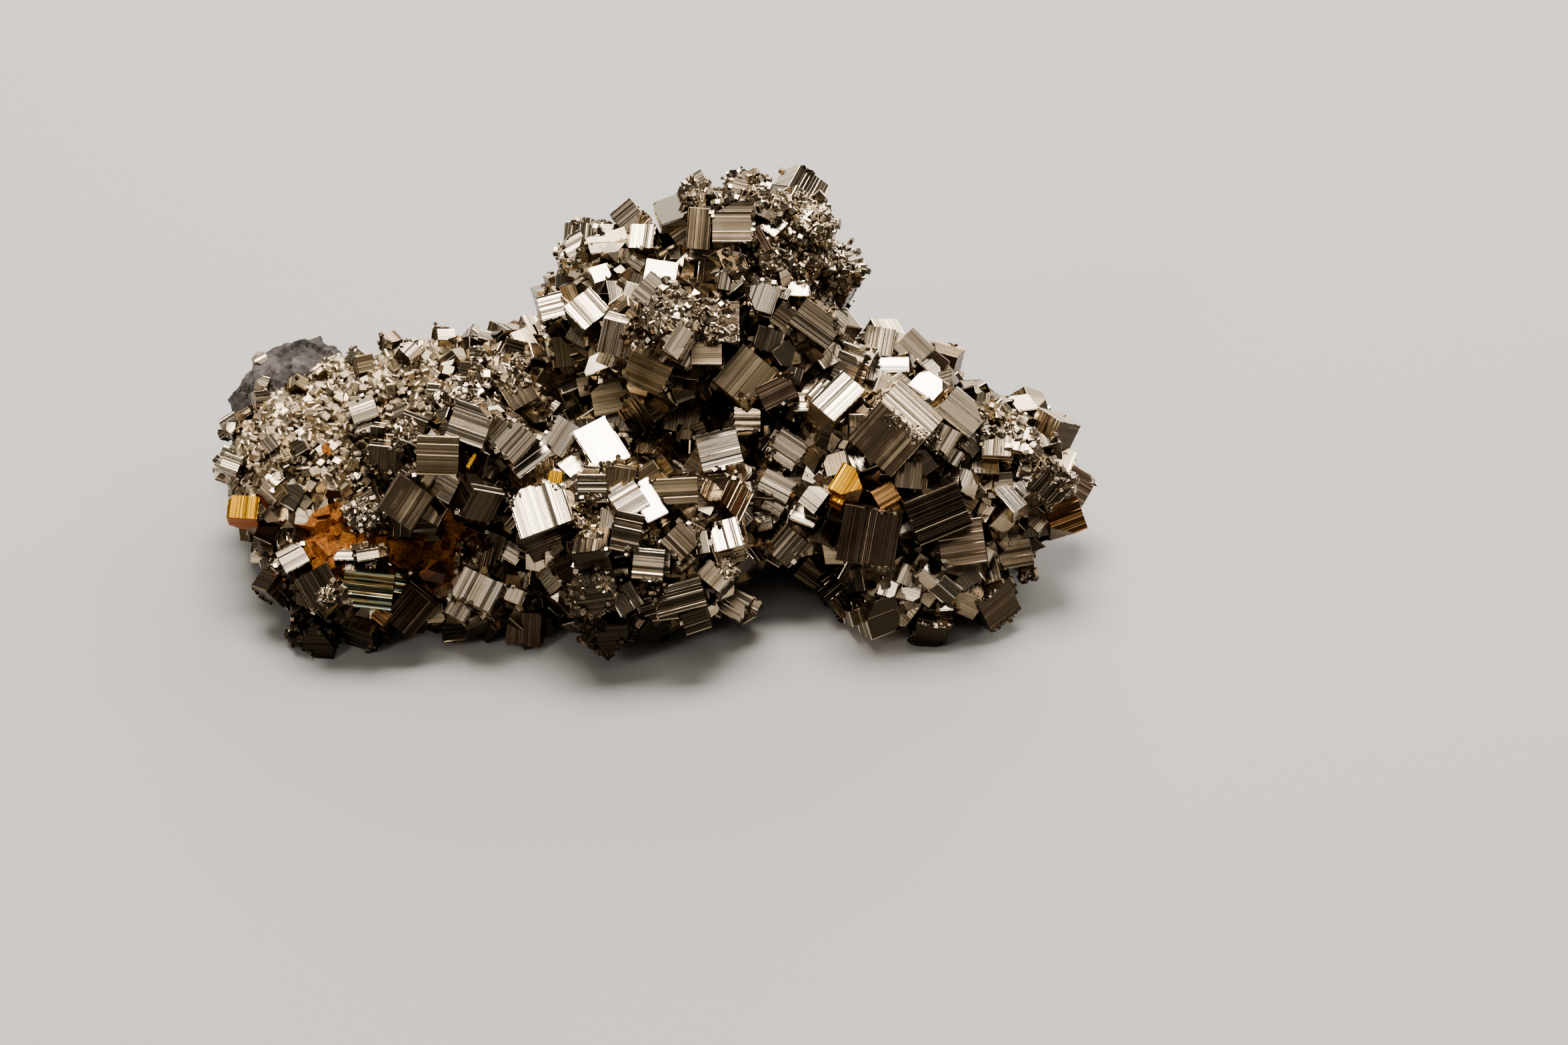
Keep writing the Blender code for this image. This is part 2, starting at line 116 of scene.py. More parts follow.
crystals = {
    "summit": [
        Crystal((1101, 339), 4.2, 0, (-2, 10), "single", shape=(0.95, 1, 1)),
        Crystal((1059, 343), 3.6, 84, (-22, -4), finish="dark", shape=(1.1, 0.7, 1)),
        Crystal((1047, 292), 3.0, 30, (-15, 20), "blunt"),
        Crystal((1153, 311), 3.0, 65, (5, 8), shape=(1, 0.9, 1)),
        Crystal((1116, 292), 4.0, -15, (0, 12), "blunt"),
        Crystal((1005, 321), 2.6, 20, (0, 15), finish="mirror"),
        Crystal((944, 328), 2.6, 40, (-6, 9)),
        Crystal((967, 364), 2.7, 86, (-11, 26), "single", shape=(1, 0.95, 1)),
        Crystal((992, 418), 3.0, -8, (0, 27), "single", "mirror", (1.05, 0.8, 1)),
        Crystal((862, 384), 3.2, 30, (-4, 18), "blunt"),
        Crystal((832, 468), 2.8, 15, (-4, 24)),
        Crystal((884, 475), 3.4, -50, (-6, 25), "single"),
        Crystal((923, 500), 3.2, 76, (-10, -18), shape=(1.1, 0.75, 1)),
        Crystal((1009, 479), 5.0, -40, (0, 9), "blunt"),
        Crystal((1016, 514), 2.8, 58, (8, 8)),
        Crystal((976, 550), 3.8, -24, (-10, -25), finish="olive", shape=(1.1, 0.9, 1)),
        Crystal((1060, 532), 3.0, 0, (0, 9), "single", "olive", (1, 0.85, 1)),
        Crystal((1076, 489), 4.0, 0, (5, 10)),
        Crystal((1148, 453), 3.2, 72, (-8, 17), finish="bright", shape=(0.95, 0.9, 1)),
        Crystal((1198, 440), 2.2, 86, (0, 26), finish="mirror", shape=(0.8, 0.9, 1)),
        Crystal((1222, 490), 4.0, -36, (5, 6), shape=(1.1, 0.75, 1)),
        Crystal((1178, 479), 2.4, -36, (4, 4)),
        Crystal((1118, 568), 4.9, 50, (0, 3), "single", "olive", (0.95, 0.88, 1)),
        Crystal((1258, 400), 3.8, 20, (14, 22), "blunt"),
        Crystal((1222, 340), 3.6, -30, (15, 20), "blunt"),
    ],
    "hollow": [
        Crystal((926, 589), 5.2, 10, (0, 11), "blunt", "olive"),
        Crystal((905, 543), 2.6, 20, (-23, -3), finish="mirror", shape=(1.3, 0.7, 1)),
        Crystal((904, 681), 4.6, -60, (-3, 28), "single", "mirror", (1.15, 0.8, 0.85)),
        Crystal((1082, 685), 4.4, 14, (-4, 15), "single", "bright", (0.92, 0.86, 1.2)),
        Crystal((771, 664), 3.4, 48, (0, 8)),
        Crystal((843, 660), 3.2, 58, (-4, 12), finish="bright", shape=(1.1, 0.85, 1)),
        Crystal((796, 699), 3.4, 40, (0, 24), finish="bright", shape=(1.2, 0.6, 1)),
        Crystal((1011, 739), 3.6, 3, (0, 4), finish="olive", shape=(1.3, 0.7, 1)),
        Crystal((929, 721), 3.0, 80, (0, -8), finish="olive"),
        Crystal((975, 717), 2.6, 35, (0, -8), finish="olive"),
        Crystal((1128, 633), 3.0, 0, (-21, -4), finish="bright"),
        Crystal((1207, 605), 2.6, 0, (-4, 26), finish="bright", shape=(0.8, 1.15, 1)),
        Crystal((1254, 607), 4.0, 47, (5, 24), finish="bright", shape=(1.15, 0.78, 1)),
        Crystal((1167, 590), 3.2, 25, (-5, 4), finish="brown", shape=(1.1, 0.8, 1)),
        Crystal((1181, 679), 3.2, -34, (0, 12)),
        Crystal((1165, 734), 3.0, -28, (0, 13), shape=(1.1, 0.8, 1)),
    ],
    "front": [
        Crystal((820, 779), 5.4, -70, (-11, 26), "single", shape=(0.95, 1, 1)),
        Crystal((780, 762), 3.4, 45, (-30, 4), finish="dark"),
        Crystal((889, 731), 2.8, 0, (0, -5)),
        Crystal((944, 760), 3.0, 33, (0, 24), finish="bright"),
        Crystal((941, 799), 3.2, -12, (0, 2), shape=(0.85, 1.2, 1)),
        Crystal((974, 765), 2.8, -60, (0, 28), finish="mirror", shape=(1.3, 0.8, 1)),
        Crystal((1091, 813), 3.2, -75, (-4, 28), "single", "bright", (1, 0.9, 1)),
        Crystal((1019, 891), 4.4, 15, (0, -8), finish="dark", shape=(1.1, 0.65, 1)),
        Crystal((1021, 816), 2.8, -45, (0, 10)),
        Crystal((973, 850), 3.0, -5, (0, 10)),
        Crystal((1077, 864), 3.0, 50, (0, 15)),
        Crystal((1102, 909), 2.8, -30, (0, 12)),
        Crystal((890, 879), 4.8, 10, (0, -35), "blunt", "dark"),
        Crystal((866, 854), 3.4, 25, (0, -15), finish="brown"),
        Crystal((939, 898), 2.6, -60, (0, 0)),
        Crystal((910, 942), 4.6, 5, (0, -40), "blunt", "dark"),
        Crystal((791, 937), 3.4, 85, (-10, -15), finish="brown"),
        Crystal((757, 828), 3.0, -32, (0, 15), finish="bright", shape=(1.3, 0.6, 1)),
        Crystal((720, 891), 3.6, 64, (-5, 15), finish="bright", shape=(0.85, 1.2, 1)),
    ],
    "left": [
        Crystal((704, 639), 3.8, -19, (5, 5), "single"),
        Crystal((659, 683), 4.2, -2, (0, -2), "single", "olive", (0.95, 0.9, 1)),
        Crystal((583, 680), 3.4, 85, (-5, -22), finish="dark", shape=(0.8, 1, 1)),
        Crystal((620, 739), 4.8, 55, (-16, -23), shape=(0.95, 0.85, 1)),
        Crystal((554, 772), 3.8, 30, (-10, 0), "blunt"),
        Crystal((594, 776), 3.2, 86, (0, -12)),
        Crystal((635, 787), 3.0, 3, (5, -10)),
        Crystal((713, 839), 3.8, 75, (0, -10), "blunt", "brown", (1.1, 0.8, 1)),
        Crystal((554, 876), 4.8, -7, (2, -14), finish="iridescent", shape=(1, 0.75, 1)),
        Crystal((561, 846), 3.0, 10, (10, -30), "blunt", "dark"),
        Crystal((617, 909), 4.2, 50, (0, -15), finish="brown", shape=(1, 0.85, 1)),
        Crystal((482, 883), 3.6, -60, (0, 3), finish="dark"),
        Crystal((443, 844), 2.6, 30, (-6, 25)),
        Crystal((472, 946), 4.4, 0, (-5, -25), "blunt", "dark"),
        Crystal((654, 861), 3.0, 30, (0, -15), "blunt", "rusted", (0.8, 0.7, 0.8)),
        Crystal((367, 769), 3.0, 86, (0, 21), "single", "gilt", (0.8, 1, 1)),
        Crystal((548, 621), 2.6, 20, (-5, 20)),
        Crystal((779, 591), 3.0, -60, (0, 8), finish="dark"),
        Crystal((687, 591), 3.0, 40, (0, 20), "blunt"),
        Crystal((354, 640), 2.8, 30, (-20, 10), shape=(0.7, 0.7, 1)),
        Crystal((352, 700), 2.8, -20, (-10, 10), shape=(0.7, 0.7, 1)),
    ],
    "right": [
        Crystal((1344, 642), 5.6, 48, (-22, -25), "single"),
        Crystal((1305, 801), 5.9, 80, (-3, -6), "single", "brown", (0.92, 0.95, 1)),
        Crystal((1401, 764), 5.2, 22, (7, -10), "single", "dark", (1.05, 0.88, 1)),
        Crystal((1444, 819), 4.4, 8, (-5, 9), finish="brown"),
        Crystal((1588, 772), 4.4, 20, (12, 0), finish="copper", shape=(0.8, 0.95, 1)),
        Crystal((1572, 723), 3.6, 48, (10, -10), finish="dark"),
        Crystal((1496, 672), 2.8, 86, (-3, 22), finish="bright"),
        Crystal((1531, 668), 2.8, 75, (3, 27), finish="bright"),
        Crystal((1440, 627), 4.2, -40, (6, 14), shape=(1, 0.8, 1)),
        Crystal((1414, 664), 2.8, 60, (-4, 14)),
        Crystal((1392, 588), 3.0, -40, (0, 28), "single", "mirror", (1, 0.85, 1)),
        Crystal((1333, 557), 2.8, 0, (0, 27), finish="mirror", shape=(1.4, 0.6, 1)),
        Crystal((1514, 753), 2.6, -52, (0, 24), finish="mirror", shape=(1.2, 0.65, 1)),
        Crystal((1518, 831), 3.4, 10, (5, 12)),
        Crystal((1274, 731), 3.0, 60, (-2, 19), "blunt", "gilt"),
        Crystal((1329, 746), 2.6, 30, (0, 8), finish="copper", shape=(0.9, 0.8, 1)),
        Crystal((1363, 716), 2.6, 85, (0, 8), finish="dark"),
        Crystal((1370, 527), 3.0, -45, (0, 10)),
        Crystal((1318, 520), 3.0, 80, (0, 20)),
    ],
}

# Small ones that stand on the others, or on the host rock
smallCrystals = [
    Crystal((832, 725), 1.8, 80, (0, 19), "single", "gilt", (1.1, 0.85, 1.1)),
    Crystal((1160, 345), 2.1, -42, (-2, 27), finish="bright"),
    Crystal((1143, 360), 1.8, -60, (0, 5), finish="brown", shape=(1.5, 0.5, 1)),
    Crystal((910, 783), 1.8, 80, (5, 12), finish="bright", shape=(1.2, 0.8, 1)),
    Crystal((519, 838), 2.0, 0, (0, 24), "single", shape=(1.1, 0.6, 1)),
    Crystal((553, 838), 2.0, 10, (0, 24), "single", shape=(1.1, 0.6, 1)),
    Crystal((573, 925), 1.9, -40, (0, 8), finish="copper", shape=(0.8, 0.8, 1)),
    Crystal((1358, 795), 1.5, 25, (0, 14), finish="mirror", shape=(1.3, 0.6, 1)),
    Crystal((1394, 862), 1.9, -40, (31, 23), finish="mirror", shape=(1.1, 0.8, 1)),
    Crystal((1411, 912), 1.7, 10, (31, 23), finish="bright", shape=(1, 0.7, 1)),
    Crystal((1451, 727), 2.2, 70, (0, 18), "blunt", "bright"),
    Crystal((1556, 785), 1.9, 50, (0, 16), finish="bright"),
    Crystal((1123, 921), 1.4, 30, (-21, -6), finish="mirror"),
    Crystal((391, 541), 1.5, 30, (0, 20), "blunt"),
    Crystal((394, 577), 1.5, -20, (-5, 15), "blunt"),
    Crystal((348, 643), 1.4, 50, (0, 24), "blunt"),
    Crystal((468, 567), 1.2, 10, (0, 20), "blunt"),
    Crystal((709, 692), 1.1, 60, (0, 14), "single", "gilt", (1.7, 0.4, 1.2)),
    Crystal((1016, 514), 2.4, 58, (6, 8), shape=(1.2, 0.75, 1)),
    Crystal((1087, 425), 1.5, 80, (0, 14), shape=(1.2, 0.9, 1)),
    Crystal((1028, 352), 3.0, 35, (0, 12)),
    Crystal((1052, 817), 1.6, -80, (0, 15), "single", shape=(1.4, 0.9, 1)),
]

# The cubes of the sides that the picture doesn't show
otherCrystals = {
    "count": 101,
    "edge": (2.6, 3.2, 4.8),   # smallest, usual and largest, in millimetres
    "seed": 11,
    "spacing": 0.62,           # of both edges together
    "clearance": 0.45,         # the same, from the crystals above, as seen in the picture
    "tilt": 30,
    "lowest": 0.5,
    "fineLobes": ("leftEnd", "leftBack", "leftRidge"),
    "fineShare": 0.62,
    "fineShown": 0.7,          # of their solids: on these lobes the crystals look smaller
    "rockMargin": 1.1,
    "finishes": {"striated": 60, "olive": 14, "mirror": 8, "dark": 10, "brown": 8},  # per cent of each
}
proudShare = 0.16              # how far a cube's middle stands out of the crust, of its edge
sunkShare = 0.15               # how far a small one's middle lies inside what it grows on


# Placing

def sightLine(pixel):
    across = (pixel[0] - pictureWidth / 2) / pixelsPerMetre
    up = (pictureHeight / 2 - pixel[1]) / pixelsPerMetre
    return (viewTarget + viewRight * across + viewUp * up - eye).normalized()


def anyVector(rng, spread=1):
    return Vector([rng.gauss(0, spread) for _ in range(3)])


def nearlyAs(turn, degrees, rng):
    return turn @ Euler(anyVector(rng, math.radians(degrees))).to_matrix()


def divided(vector, radii):
    return Vector((vector.x / radii.x, vector.y / radii.y, vector.z / radii.z))


def crustPoint(direction):
    # where a sight line first meets the crust, or its nearest point where it passes beside it
    first, nearest = None, None
    for lobe in lobes.values():
        centre, radii = Vector(lobe.centre) * mm, Vector(lobe.radii) * mm
        start, step = divided(eye - centre, radii), divided(direction, radii)
        square, half, rest = step.dot(step), start.dot(step), start.dot(start) - 1
        underRoot = half * half - square * rest
        if underRoot >= 0:
            travel = (-half - math.sqrt(underRoot)) / square
            first = travel if first is None else min(first, travel)
        travel = -half / square
        miss = (start + step * travel).length
        if nearest is None or miss < nearest[0]:
            nearest = (miss, travel)
    return eye + direction * (nearest[1] if first is None else first)


def facing(spin, lean):
    picture = Matrix((viewRight, viewUp, viewBack)).transposed()
    turn = Matrix.Rotation(math.radians(spin), 3, "Z")
    tilt = Matrix.Identity(3)
    if any(lean):
        axis = Vector((-lean[1], lean[0], 0))
        tilt = Matrix.Rotation(math.radians(axis.length), 3, axis.normalized())
    return picture @ tilt @ turn


class Placed(NamedTuple):     # a crystal at its place in the layout, in metres
    middle: Vector
    turn: Matrix
    size: Vector
    form: str
    finish: str
    shown: bool               # told apart in the picture, so its front face is kept clear


def placeAt(crystal, start, direction, share):
    # share of its edge away from a point, along the sight line
    edge = crystal.edge * mm
    size = Vector(crystal.shape) * edge
    middle = start + direction * edge * share
    return Placed(middle, facing(crystal.spin, crystal.lean), size, crystal.form, crystal.finish, True)


def placeShown(crystal):
    direction = sightLine(crystal.pixel)
    return placeAt(crystal, crustPoint(direction), direction, -proudShare)


def placeSmall(crystal, surfaces):
    # on whatever the sight line meets first
    direction = sightLine(crystal.pixel)
    met = surfaces.ray_cast(eye, direction)[0] or crustPoint(direction)
    return placeAt(crystal, met, direction, sunkShare)


def reachIn(lobe, point):
    # one on the lobe's surface, less inside
    return divided(point - Vector(lobe.centre) * mm, Vector(lobe.radii) * mm).length


def seenAt(point):
    return Vector(((point - viewTarget).dot(viewRight), (point - viewTarget).dot(viewUp)))


def placeOthers(standing):
    rng = random.Random(otherCrystals["seed"])
    looks = random.Random(otherCrystals["seed"] + 1)
    names = list(lobes)
    areas = [math.prod(lobes[name].radii) ** (2 / 3) for name in names]
    found = []
    taken = [(one.middle, edge) for one, edge in standing]
    shown = [(seenAt(middle), edge) for middle, edge in taken]
    smallest, usual, largest = otherCrystals["edge"]
    finishes = otherCrystals["finishes"]
    while len(found) < otherCrystals["count"]:
        name = rng.choices(names, areas)[0]
        way = anyVector(rng).normalized()
        radii = Vector(lobes[name].radii) * mm
        point = Vector(lobes[name].centre) * mm + way * radii
        edge = rng.triangular(smallest, largest, usual) * mm
        if name in otherCrystals["fineLobes"]:
            edge *= otherCrystals["fineShare"]
        spins = [rng.gauss(0, otherCrystals["tilt"]) for _ in range(2)] + [rng.uniform(0, 90)]
        buried = any(reachIn(lobe, point) < 1 for other, lobe in lobes.items() if other != name)
        inRock = reachIn(hostRock, point) < otherCrystals["rockMargin"]
        if point.z < edge * otherCrystals["lowest"] or inRock or buried:
            continue
        if any((point - other).length < otherCrystals["spacing"] * (edge + size) for other, size in taken):
            continue
        outward = divided(way, radii).normalized()
        place = seenAt(point)
        if outward.dot(viewBack) > 0 and any(
            (place - other).length < otherCrystals["clearance"] * (edge + size) for other, size in shown
        ):
            continue
        turn = outward.to_track_quat("Z", "Y").to_matrix()
        for spin, axis in zip(spins, "XYZ"):
            turn = turn @ Matrix.Rotation(math.radians(spin), 3, axis)
        finish = looks.choices(list(finishes), finishes.values())[0]
        shownEdge = edge * (otherCrystals["fineShown"] if name in otherCrystals["fineLobes"] else 1)
        found.append(Placed(point, turn, Vector((1, 1, 1)) * shownEdge, "cube", finish, False))
        taken.append((point, edge))
    return found


# Looks

def srgb(hexColour):
    # a hex colour as the eye sees it, turned linear
    values = [int(hexColour[i:i + 2], 16) / 255 for i in (1, 3, 5)]
    return tuple(v / 12.92 if v <= 0.04045 else ((v + 0.055) / 1.055) ** 2.4 for v in values) + (1,)


def fillInputs(tree, node, inputs):
    # inputs are values, or the sockets that feed them
    for name, value in inputs.items():
        if isinstance(value, bpy.types.NodeSocket):
            tree.links.new(value, node.inputs[name])
        else:
            node.inputs[name].default_value = value
    return node


def addNode(tree, kind, settings=None, inputs=None):
    node = tree.nodes.new(kind)
    for name, value in (settings or {}).items():
        setattr(node, name, value)
    return fillInputs(tree, node, inputs or {})


def newMaterial(name):
    made = bpy.data.materials.new(name)
    made.use_nodes = True
    return made, made.node_tree, made.node_tree.nodes["Principled BSDF"]


def tintRamp(tree, factor, positions, tints):
    ramp = addNode(tree, "ShaderNodeValToRGB", inputs={"Fac": factor})
    elements = ramp.color_ramp.elements
    while len(elements) < len(tints):
        elements.new(0.5)
    for element, position, colour in zip(elements, positions, tints):
        element.position = position
        element.color = srgb(colour)
    return ramp.outputs["Color"]


def tintFrom(tree, textures, positions, tints):
    # the crystal's own tone, with each texture added by its share, turned into a tint
    total = addNode(tree, "ShaderNodeAttribute", {"attribute_name": "tone"}).outputs["Fac"]
    for texture, share in textures:
        total = addNode(tree, "ShaderNodeMath", {"operation": "MULTIPLY_ADD"},
                        {0: texture.outputs["Fac"], 1: share, 2: total}).outputs[0]
    return tintRamp(tree, total, positions, tints)


# Pyrite's growth faces: polished by nature, with fine lines along one direction of the face, so that
# each mirrors its surroundings in streaks. The coarse lines are modelled; the bump adds the finer ones.
# Tarnish makes them olive, dark or brown; thin films of it glow like gilt, copper or a rainbow; a
# rusted face is dull. The dark finish is also painted shade, given to crystals that lie in shade low at the
# front.
pyriteFinishes = {
    "striated": {"tints": ("#3d3326", "#a8967a", "#e4d5bb"), "roughness": (0.12, 0.30), "lines": 1.0},
    "bright": {"tints": ("#857459", "#d5c3a6", "#f1e4cf"), "roughness": (0.11, 0.26), "lines": 1.0},
    "mirror": {"tints": ("#cdbd9f", "#e0d2ba", "#efe5d4"), "roughness": (0.09, 0.20), "lines": 0.4},
    "olive": {"tints": ("#433823", "#938060", "#c6b392"), "roughness": (0.26, 0.44), "lines": 0.8},
    # dark: tarnish, and painted shade where it darkens the crystals in shade at the foot
    "dark": {"tints": ("#2a241b", "#605442", "#a2927a"), "roughness": (0.15, 0.32), "lines": 1.2},
    "brown": {"tints": ("#33281d", "#6b5745", "#a38d76"), "roughness": (0.18, 0.36), "lines": 1.1},
    "copper": {"tints": ("#402b16", "#946738", "#dca86a"), "roughness": (0.16, 0.34), "lines": 1.1},
    "gilt": {"tints": ("#8c4402", "#ec9204", "#ffc020"), "roughness": (0.16, 0.34), "lines": 1.2},
    "rusted": {"tints": ("#3c1f06", "#8a4a0c", "#b8701c"), "roughness": (0.55, 0.85), "lines": 0.9,
               "metallic": 0.0},
    "iridescent": {"tints": ("#332c20", "#5f543b", "#c8ac64", "#474134", "#648f88", "#8a7c58", "#3c3528"),
                   "roughness": (0.14, 0.28), "lines": 2.2},
}
pyriteLines = {
    "width": 0.17,         # millimetres between the fine lines
    "length": 60.0,        # how far one runs before it changes
    "relief": 0.012 * mm,
    "strength": 0.8,
    "cloud": 3.5,          # millimetres across a patch of tarnish
    "cloudShare": 0.55,    # how much the patches and the lines change the tint
    "lineShare": 0.35,
    "tintSpan": (0.42, 0.98),
}
noiseSpan = (0.35, 0.65)   # the part of a noise's range that counts for the gloss


def glossOf(tree, texture, roughness):
    # smooth where the texture is low, dull where it is high
    return addNode(tree, "ShaderNodeMapRange", inputs={
        "Value": texture, "From Min": noiseSpan[0], "From Max": noiseSpan[1],
        "To Min": roughness[0], "To Max": roughness[1]}).outputs["Result"]


def pyriteFinish(name):
    look = pyriteFinishes[name]
    made, tree, shader = newMaterial(f"pyrite, {name} growth faces")
    lineCount, lineRun = 1 / pyriteLines["width"], 1 / pyriteLines["length"]
    growthMap = addNode(tree, "ShaderNodeUVMap", {"uv_map": "growth"}).outputs["UV"]
    along = addNode(tree, "ShaderNodeMapping", inputs={"Vector": growthMap, "Scale": (lineRun, lineCount, 1)})
    fine = addNode(tree, "ShaderNodeTexNoise", {"noise_dimensions": "2D"},
                   {"Vector": along.outputs["Vector"], "Scale": 1.0, "Detail": 2.0, "Roughness": 0.6})
    place = addNode(tree, "ShaderNodeTexCoord").outputs["Object"]
    cloud = addNode(tree, "ShaderNodeTexNoise", inputs={
        "Vector": place, "Scale": 1 / (pyriteLines["cloud"] * mm), "Detail": 4.0, "Roughness": 0.55})
    steps, (first, last) = len(look["tints"]) - 1, pyriteLines["tintSpan"]
    positions = [first + (last - first) * number / steps for number in range(steps + 1)]
    shares = [(cloud, pyriteLines["cloudShare"]), (fine, pyriteLines["lineShare"] * look["lines"])]
    colour = tintFrom(tree, shares, positions, look["tints"])
    gloss = glossOf(tree, fine.outputs["Fac"], look["roughness"])
    bump = addNode(tree, "ShaderNodeBump", inputs={
        "Height": fine.outputs["Fac"], "Strength": min(1.0, pyriteLines["strength"] * look["lines"]),
        "Distance": pyriteLines["relief"]})
    fillInputs(tree, shader, {"Base Color": colour, "Roughness": gloss, "Normal": bump.outputs["Normal"],
                              "Metallic": look.get("metallic", 1.0)})
    return made


# Limonite: pyrite that has rusted to an earthy orange coat, dull like clay, mostly in the hollow under
# the left shelf. Each spot has its place in the picture and its radius in millimetres.
limonite = {
    "spots": (((505, 812), 4.4), ((650, 822), 5.0), ((590, 850), 3.4), ((495, 669), 0.9), ((560, 790), 3.0)),
    "tints": ("#4c2a06", "#a4600f", "#d69534"),
    "stops": (0.3, 0.52, 0.72),
    "ragged": 0.9,         # how far the rim strays, of the radius
    "rim": (1.36, 1.42),   # where it starts and ends
    "dull": 0.9,
}


def limoniteMask(tree, place, ragged):
    # one inside a rusted spot, with a ragged rim, and nought outside
    mask = None
    for pixel, radius in limonite["spots"]:
        centre = crustPoint(sightLine(pixel)) - footprintMiddle
        away = addNode(tree, "ShaderNodeVectorMath", {"operation": "DISTANCE"}, {0: place, 1: centre})
        rough = addNode(tree, "ShaderNodeMath", {"operation": "MULTIPLY_ADD"},
                        {0: ragged, 1: radius * mm * limonite["ragged"], 2: away.outputs["Value"]})
        start, end = [radius * mm * share for share in limonite["rim"]]
        inside = addNode(tree, "ShaderNodeMapRange", inputs={
            "Value": rough.outputs[0], "From Min": start, "From Max": end, "To Min": 1.0, "To Max": 0.0})
        if mask is None:
            mask = inside.outputs["Result"]
        else:
            mask = addNode(tree, "ShaderNodeMath", {"operation": "MAXIMUM"},
                           {0: mask, 1: inside.outputs["Result"]}).outputs[0]
    return mask


# Fine pyrite: broken and rough-grown, so it glitters in points instead of mirroring
finePyrite = {
    "grain": 0.35,         # millimetres across a grain and across a patch
    "patch": 3.5,
    "detail": 4.0,
    "sharpness": 0.65,
    "grainShare": 0.4,
    "cloudShare": 0.6,
    "stops": (0.40, 0.72, 1.0),
    "relief": 0.03 * mm,
    "strength": 0.6,
    # massive: the crust seen in the gaps between the crystals, darker than the granular ones: its own colour,
    # and partly painted shade in those gaps
    "massive": {"tints": ("#2b251b", "#5c5040", "#968770"), "roughness": (0.24, 0.50)},
    "granular": {"tints": ("#3e3425", "#8d7d63", "#cdbd9f"), "roughness": (0.24, 0.50)},
    "drusy": {"tints": ("#342c20", "#897a62", "#d2c2a6"), "roughness": (0.12, 0.30)},
}


def roughTextures(tree, look):
    # fine grain, wider patches, and the relief of the grain
    place = addNode(tree, "ShaderNodeTexCoord").outputs["Object"]
    grain = addNode(tree, "ShaderNodeTexNoise", inputs={
        "Vector": place, "Scale": 1 / (look["grain"] * mm), "Detail": look["detail"],
        "Roughness": look["sharpness"]})
    cloud = addNode(tree, "ShaderNodeTexNoise", inputs={
        "Vector": place, "Scale": 1 / (look["patch"] * mm), "Detail": 3.0})
    bump = addNode(tree, "ShaderNodeBump", inputs={
        "Height": grain.outputs["Fac"], "Strength": look["strength"], "Distance": look["relief"]})
    return place, grain, cloud, bump.outputs["Normal"]


def roughPyrite(name, look, rusted):
    made, tree, shader = newMaterial(name)
    place, grain, cloud, relief = roughTextures(tree, finePyrite)
    shares = [(cloud, finePyrite["cloudShare"]), (grain, finePyrite["grainShare"])]
    colour = tintFrom(tree, shares, finePyrite["stops"], finePyrite[look]["tints"])
    gloss = glossOf(tree, grain.outputs["Fac"], finePyrite[look]["roughness"])
    metallic = 1.0
    if rusted:
        mask = limoniteMask(tree, place, cloud.outputs["Fac"])
        earth = tintRamp(tree, grain.outputs["Fac"], limonite["stops"], limonite["tints"])
        blended = addNode(tree, "ShaderNodeMix", {"data_type": "RGBA"}, {0: mask, 6: colour, 7: earth})
        colour = blended.outputs[2]
        gloss = addNode(tree, "ShaderNodeMapRange", inputs={
            "Value": mask, "To Min": gloss, "To Max": limonite["dull"]}).outputs["Result"]
        metallic = addNode(tree, "ShaderNodeMapRange", inputs={
            "Value": mask, "To Min": 1.0, "To Max": 0.0}).outputs["Result"]
    fillInputs(tree, shader, {
        "Base Color": colour, "Roughness": gloss, "Normal": relief, "Metallic": metallic})
    return made


# Blocks with growth lines

growth = {
    "tread": 0.24 * mm,        # usual width of a flat between two growth lines
    "treadRange": (0.35, 1.9),
    "riser": 0.05 * mm,
    "depth": 0.06 * mm,
    "rim": 0.13 * mm,          # the flat that is left along every edge of a block
    "rimMost": 0.16,           # of the block's width
    "wear": 0.05 * mm,         # how much of each edge is worn off
    "tilt": 0.16,              # how far a flat slopes, in radians
    "lineTone": 0.12,          # how much the flats differ in tarnish
    "cornerLoss": (0.10, 0.24),  # of the edge, where a corner is missing
    "bluntLoss": (0.28, 0.42),
    "cornerSlant": (0.7, 1.3),
    "lostCorners": (1, 2, 3),
    "bluntCorners": 6,
    "frontLoss": 0.5,          # how many of them are lost all the same at a shown block's front
    "faceTone": 0.05,
    "mates": (0, 1, 1, 2, 2),  # smaller blocks grown onto a large one
    "mateSize": (0.36, 0.68),
    "mateStretch": (0.7, 1.2),
    "mateOut": (0.42, 0.6),    # where they stand, in edges of the large one
    "mateAside": 0.4,
    "mateDepth": (-0.45, 0.05),
    "mateTurn": 3.0,           # degrees
    "mateFrom": 2.5 * mm,      # the smallest edge that gets them
}
cornerKeys = 1e8               # to the metre: two corners of faces that agree on it are one
usualFlats = (0.9, 0.85)       # shares of the width and the slope of the flats above
calmFlats = {                  # the same on the calmer finishes
    "mirror": (5.0, 0.6),
    "olive": (1.2, 0.42),
    "dark": (0.8, 0.45),
    "brown": (0.8, 0.4),
    "rusted": (3.0, 0.8),
}
paintedLightAndShade = 0.42                 # painted shade and light: how much darker the faces that look down are painted, and lighter those that look up
paintedLightSpan = (-0.05, 0.95)    # between these upward parts of a face's direction the painted shade turns into painted light
paintedFootShade = (0.36, 10 * mm)  # painted shade on a whole crystal at the foot: how much darker, and up to what height
blockTone = (0.26, 0.13)       # the usual tone of a block and its spread
brightest = 0.62


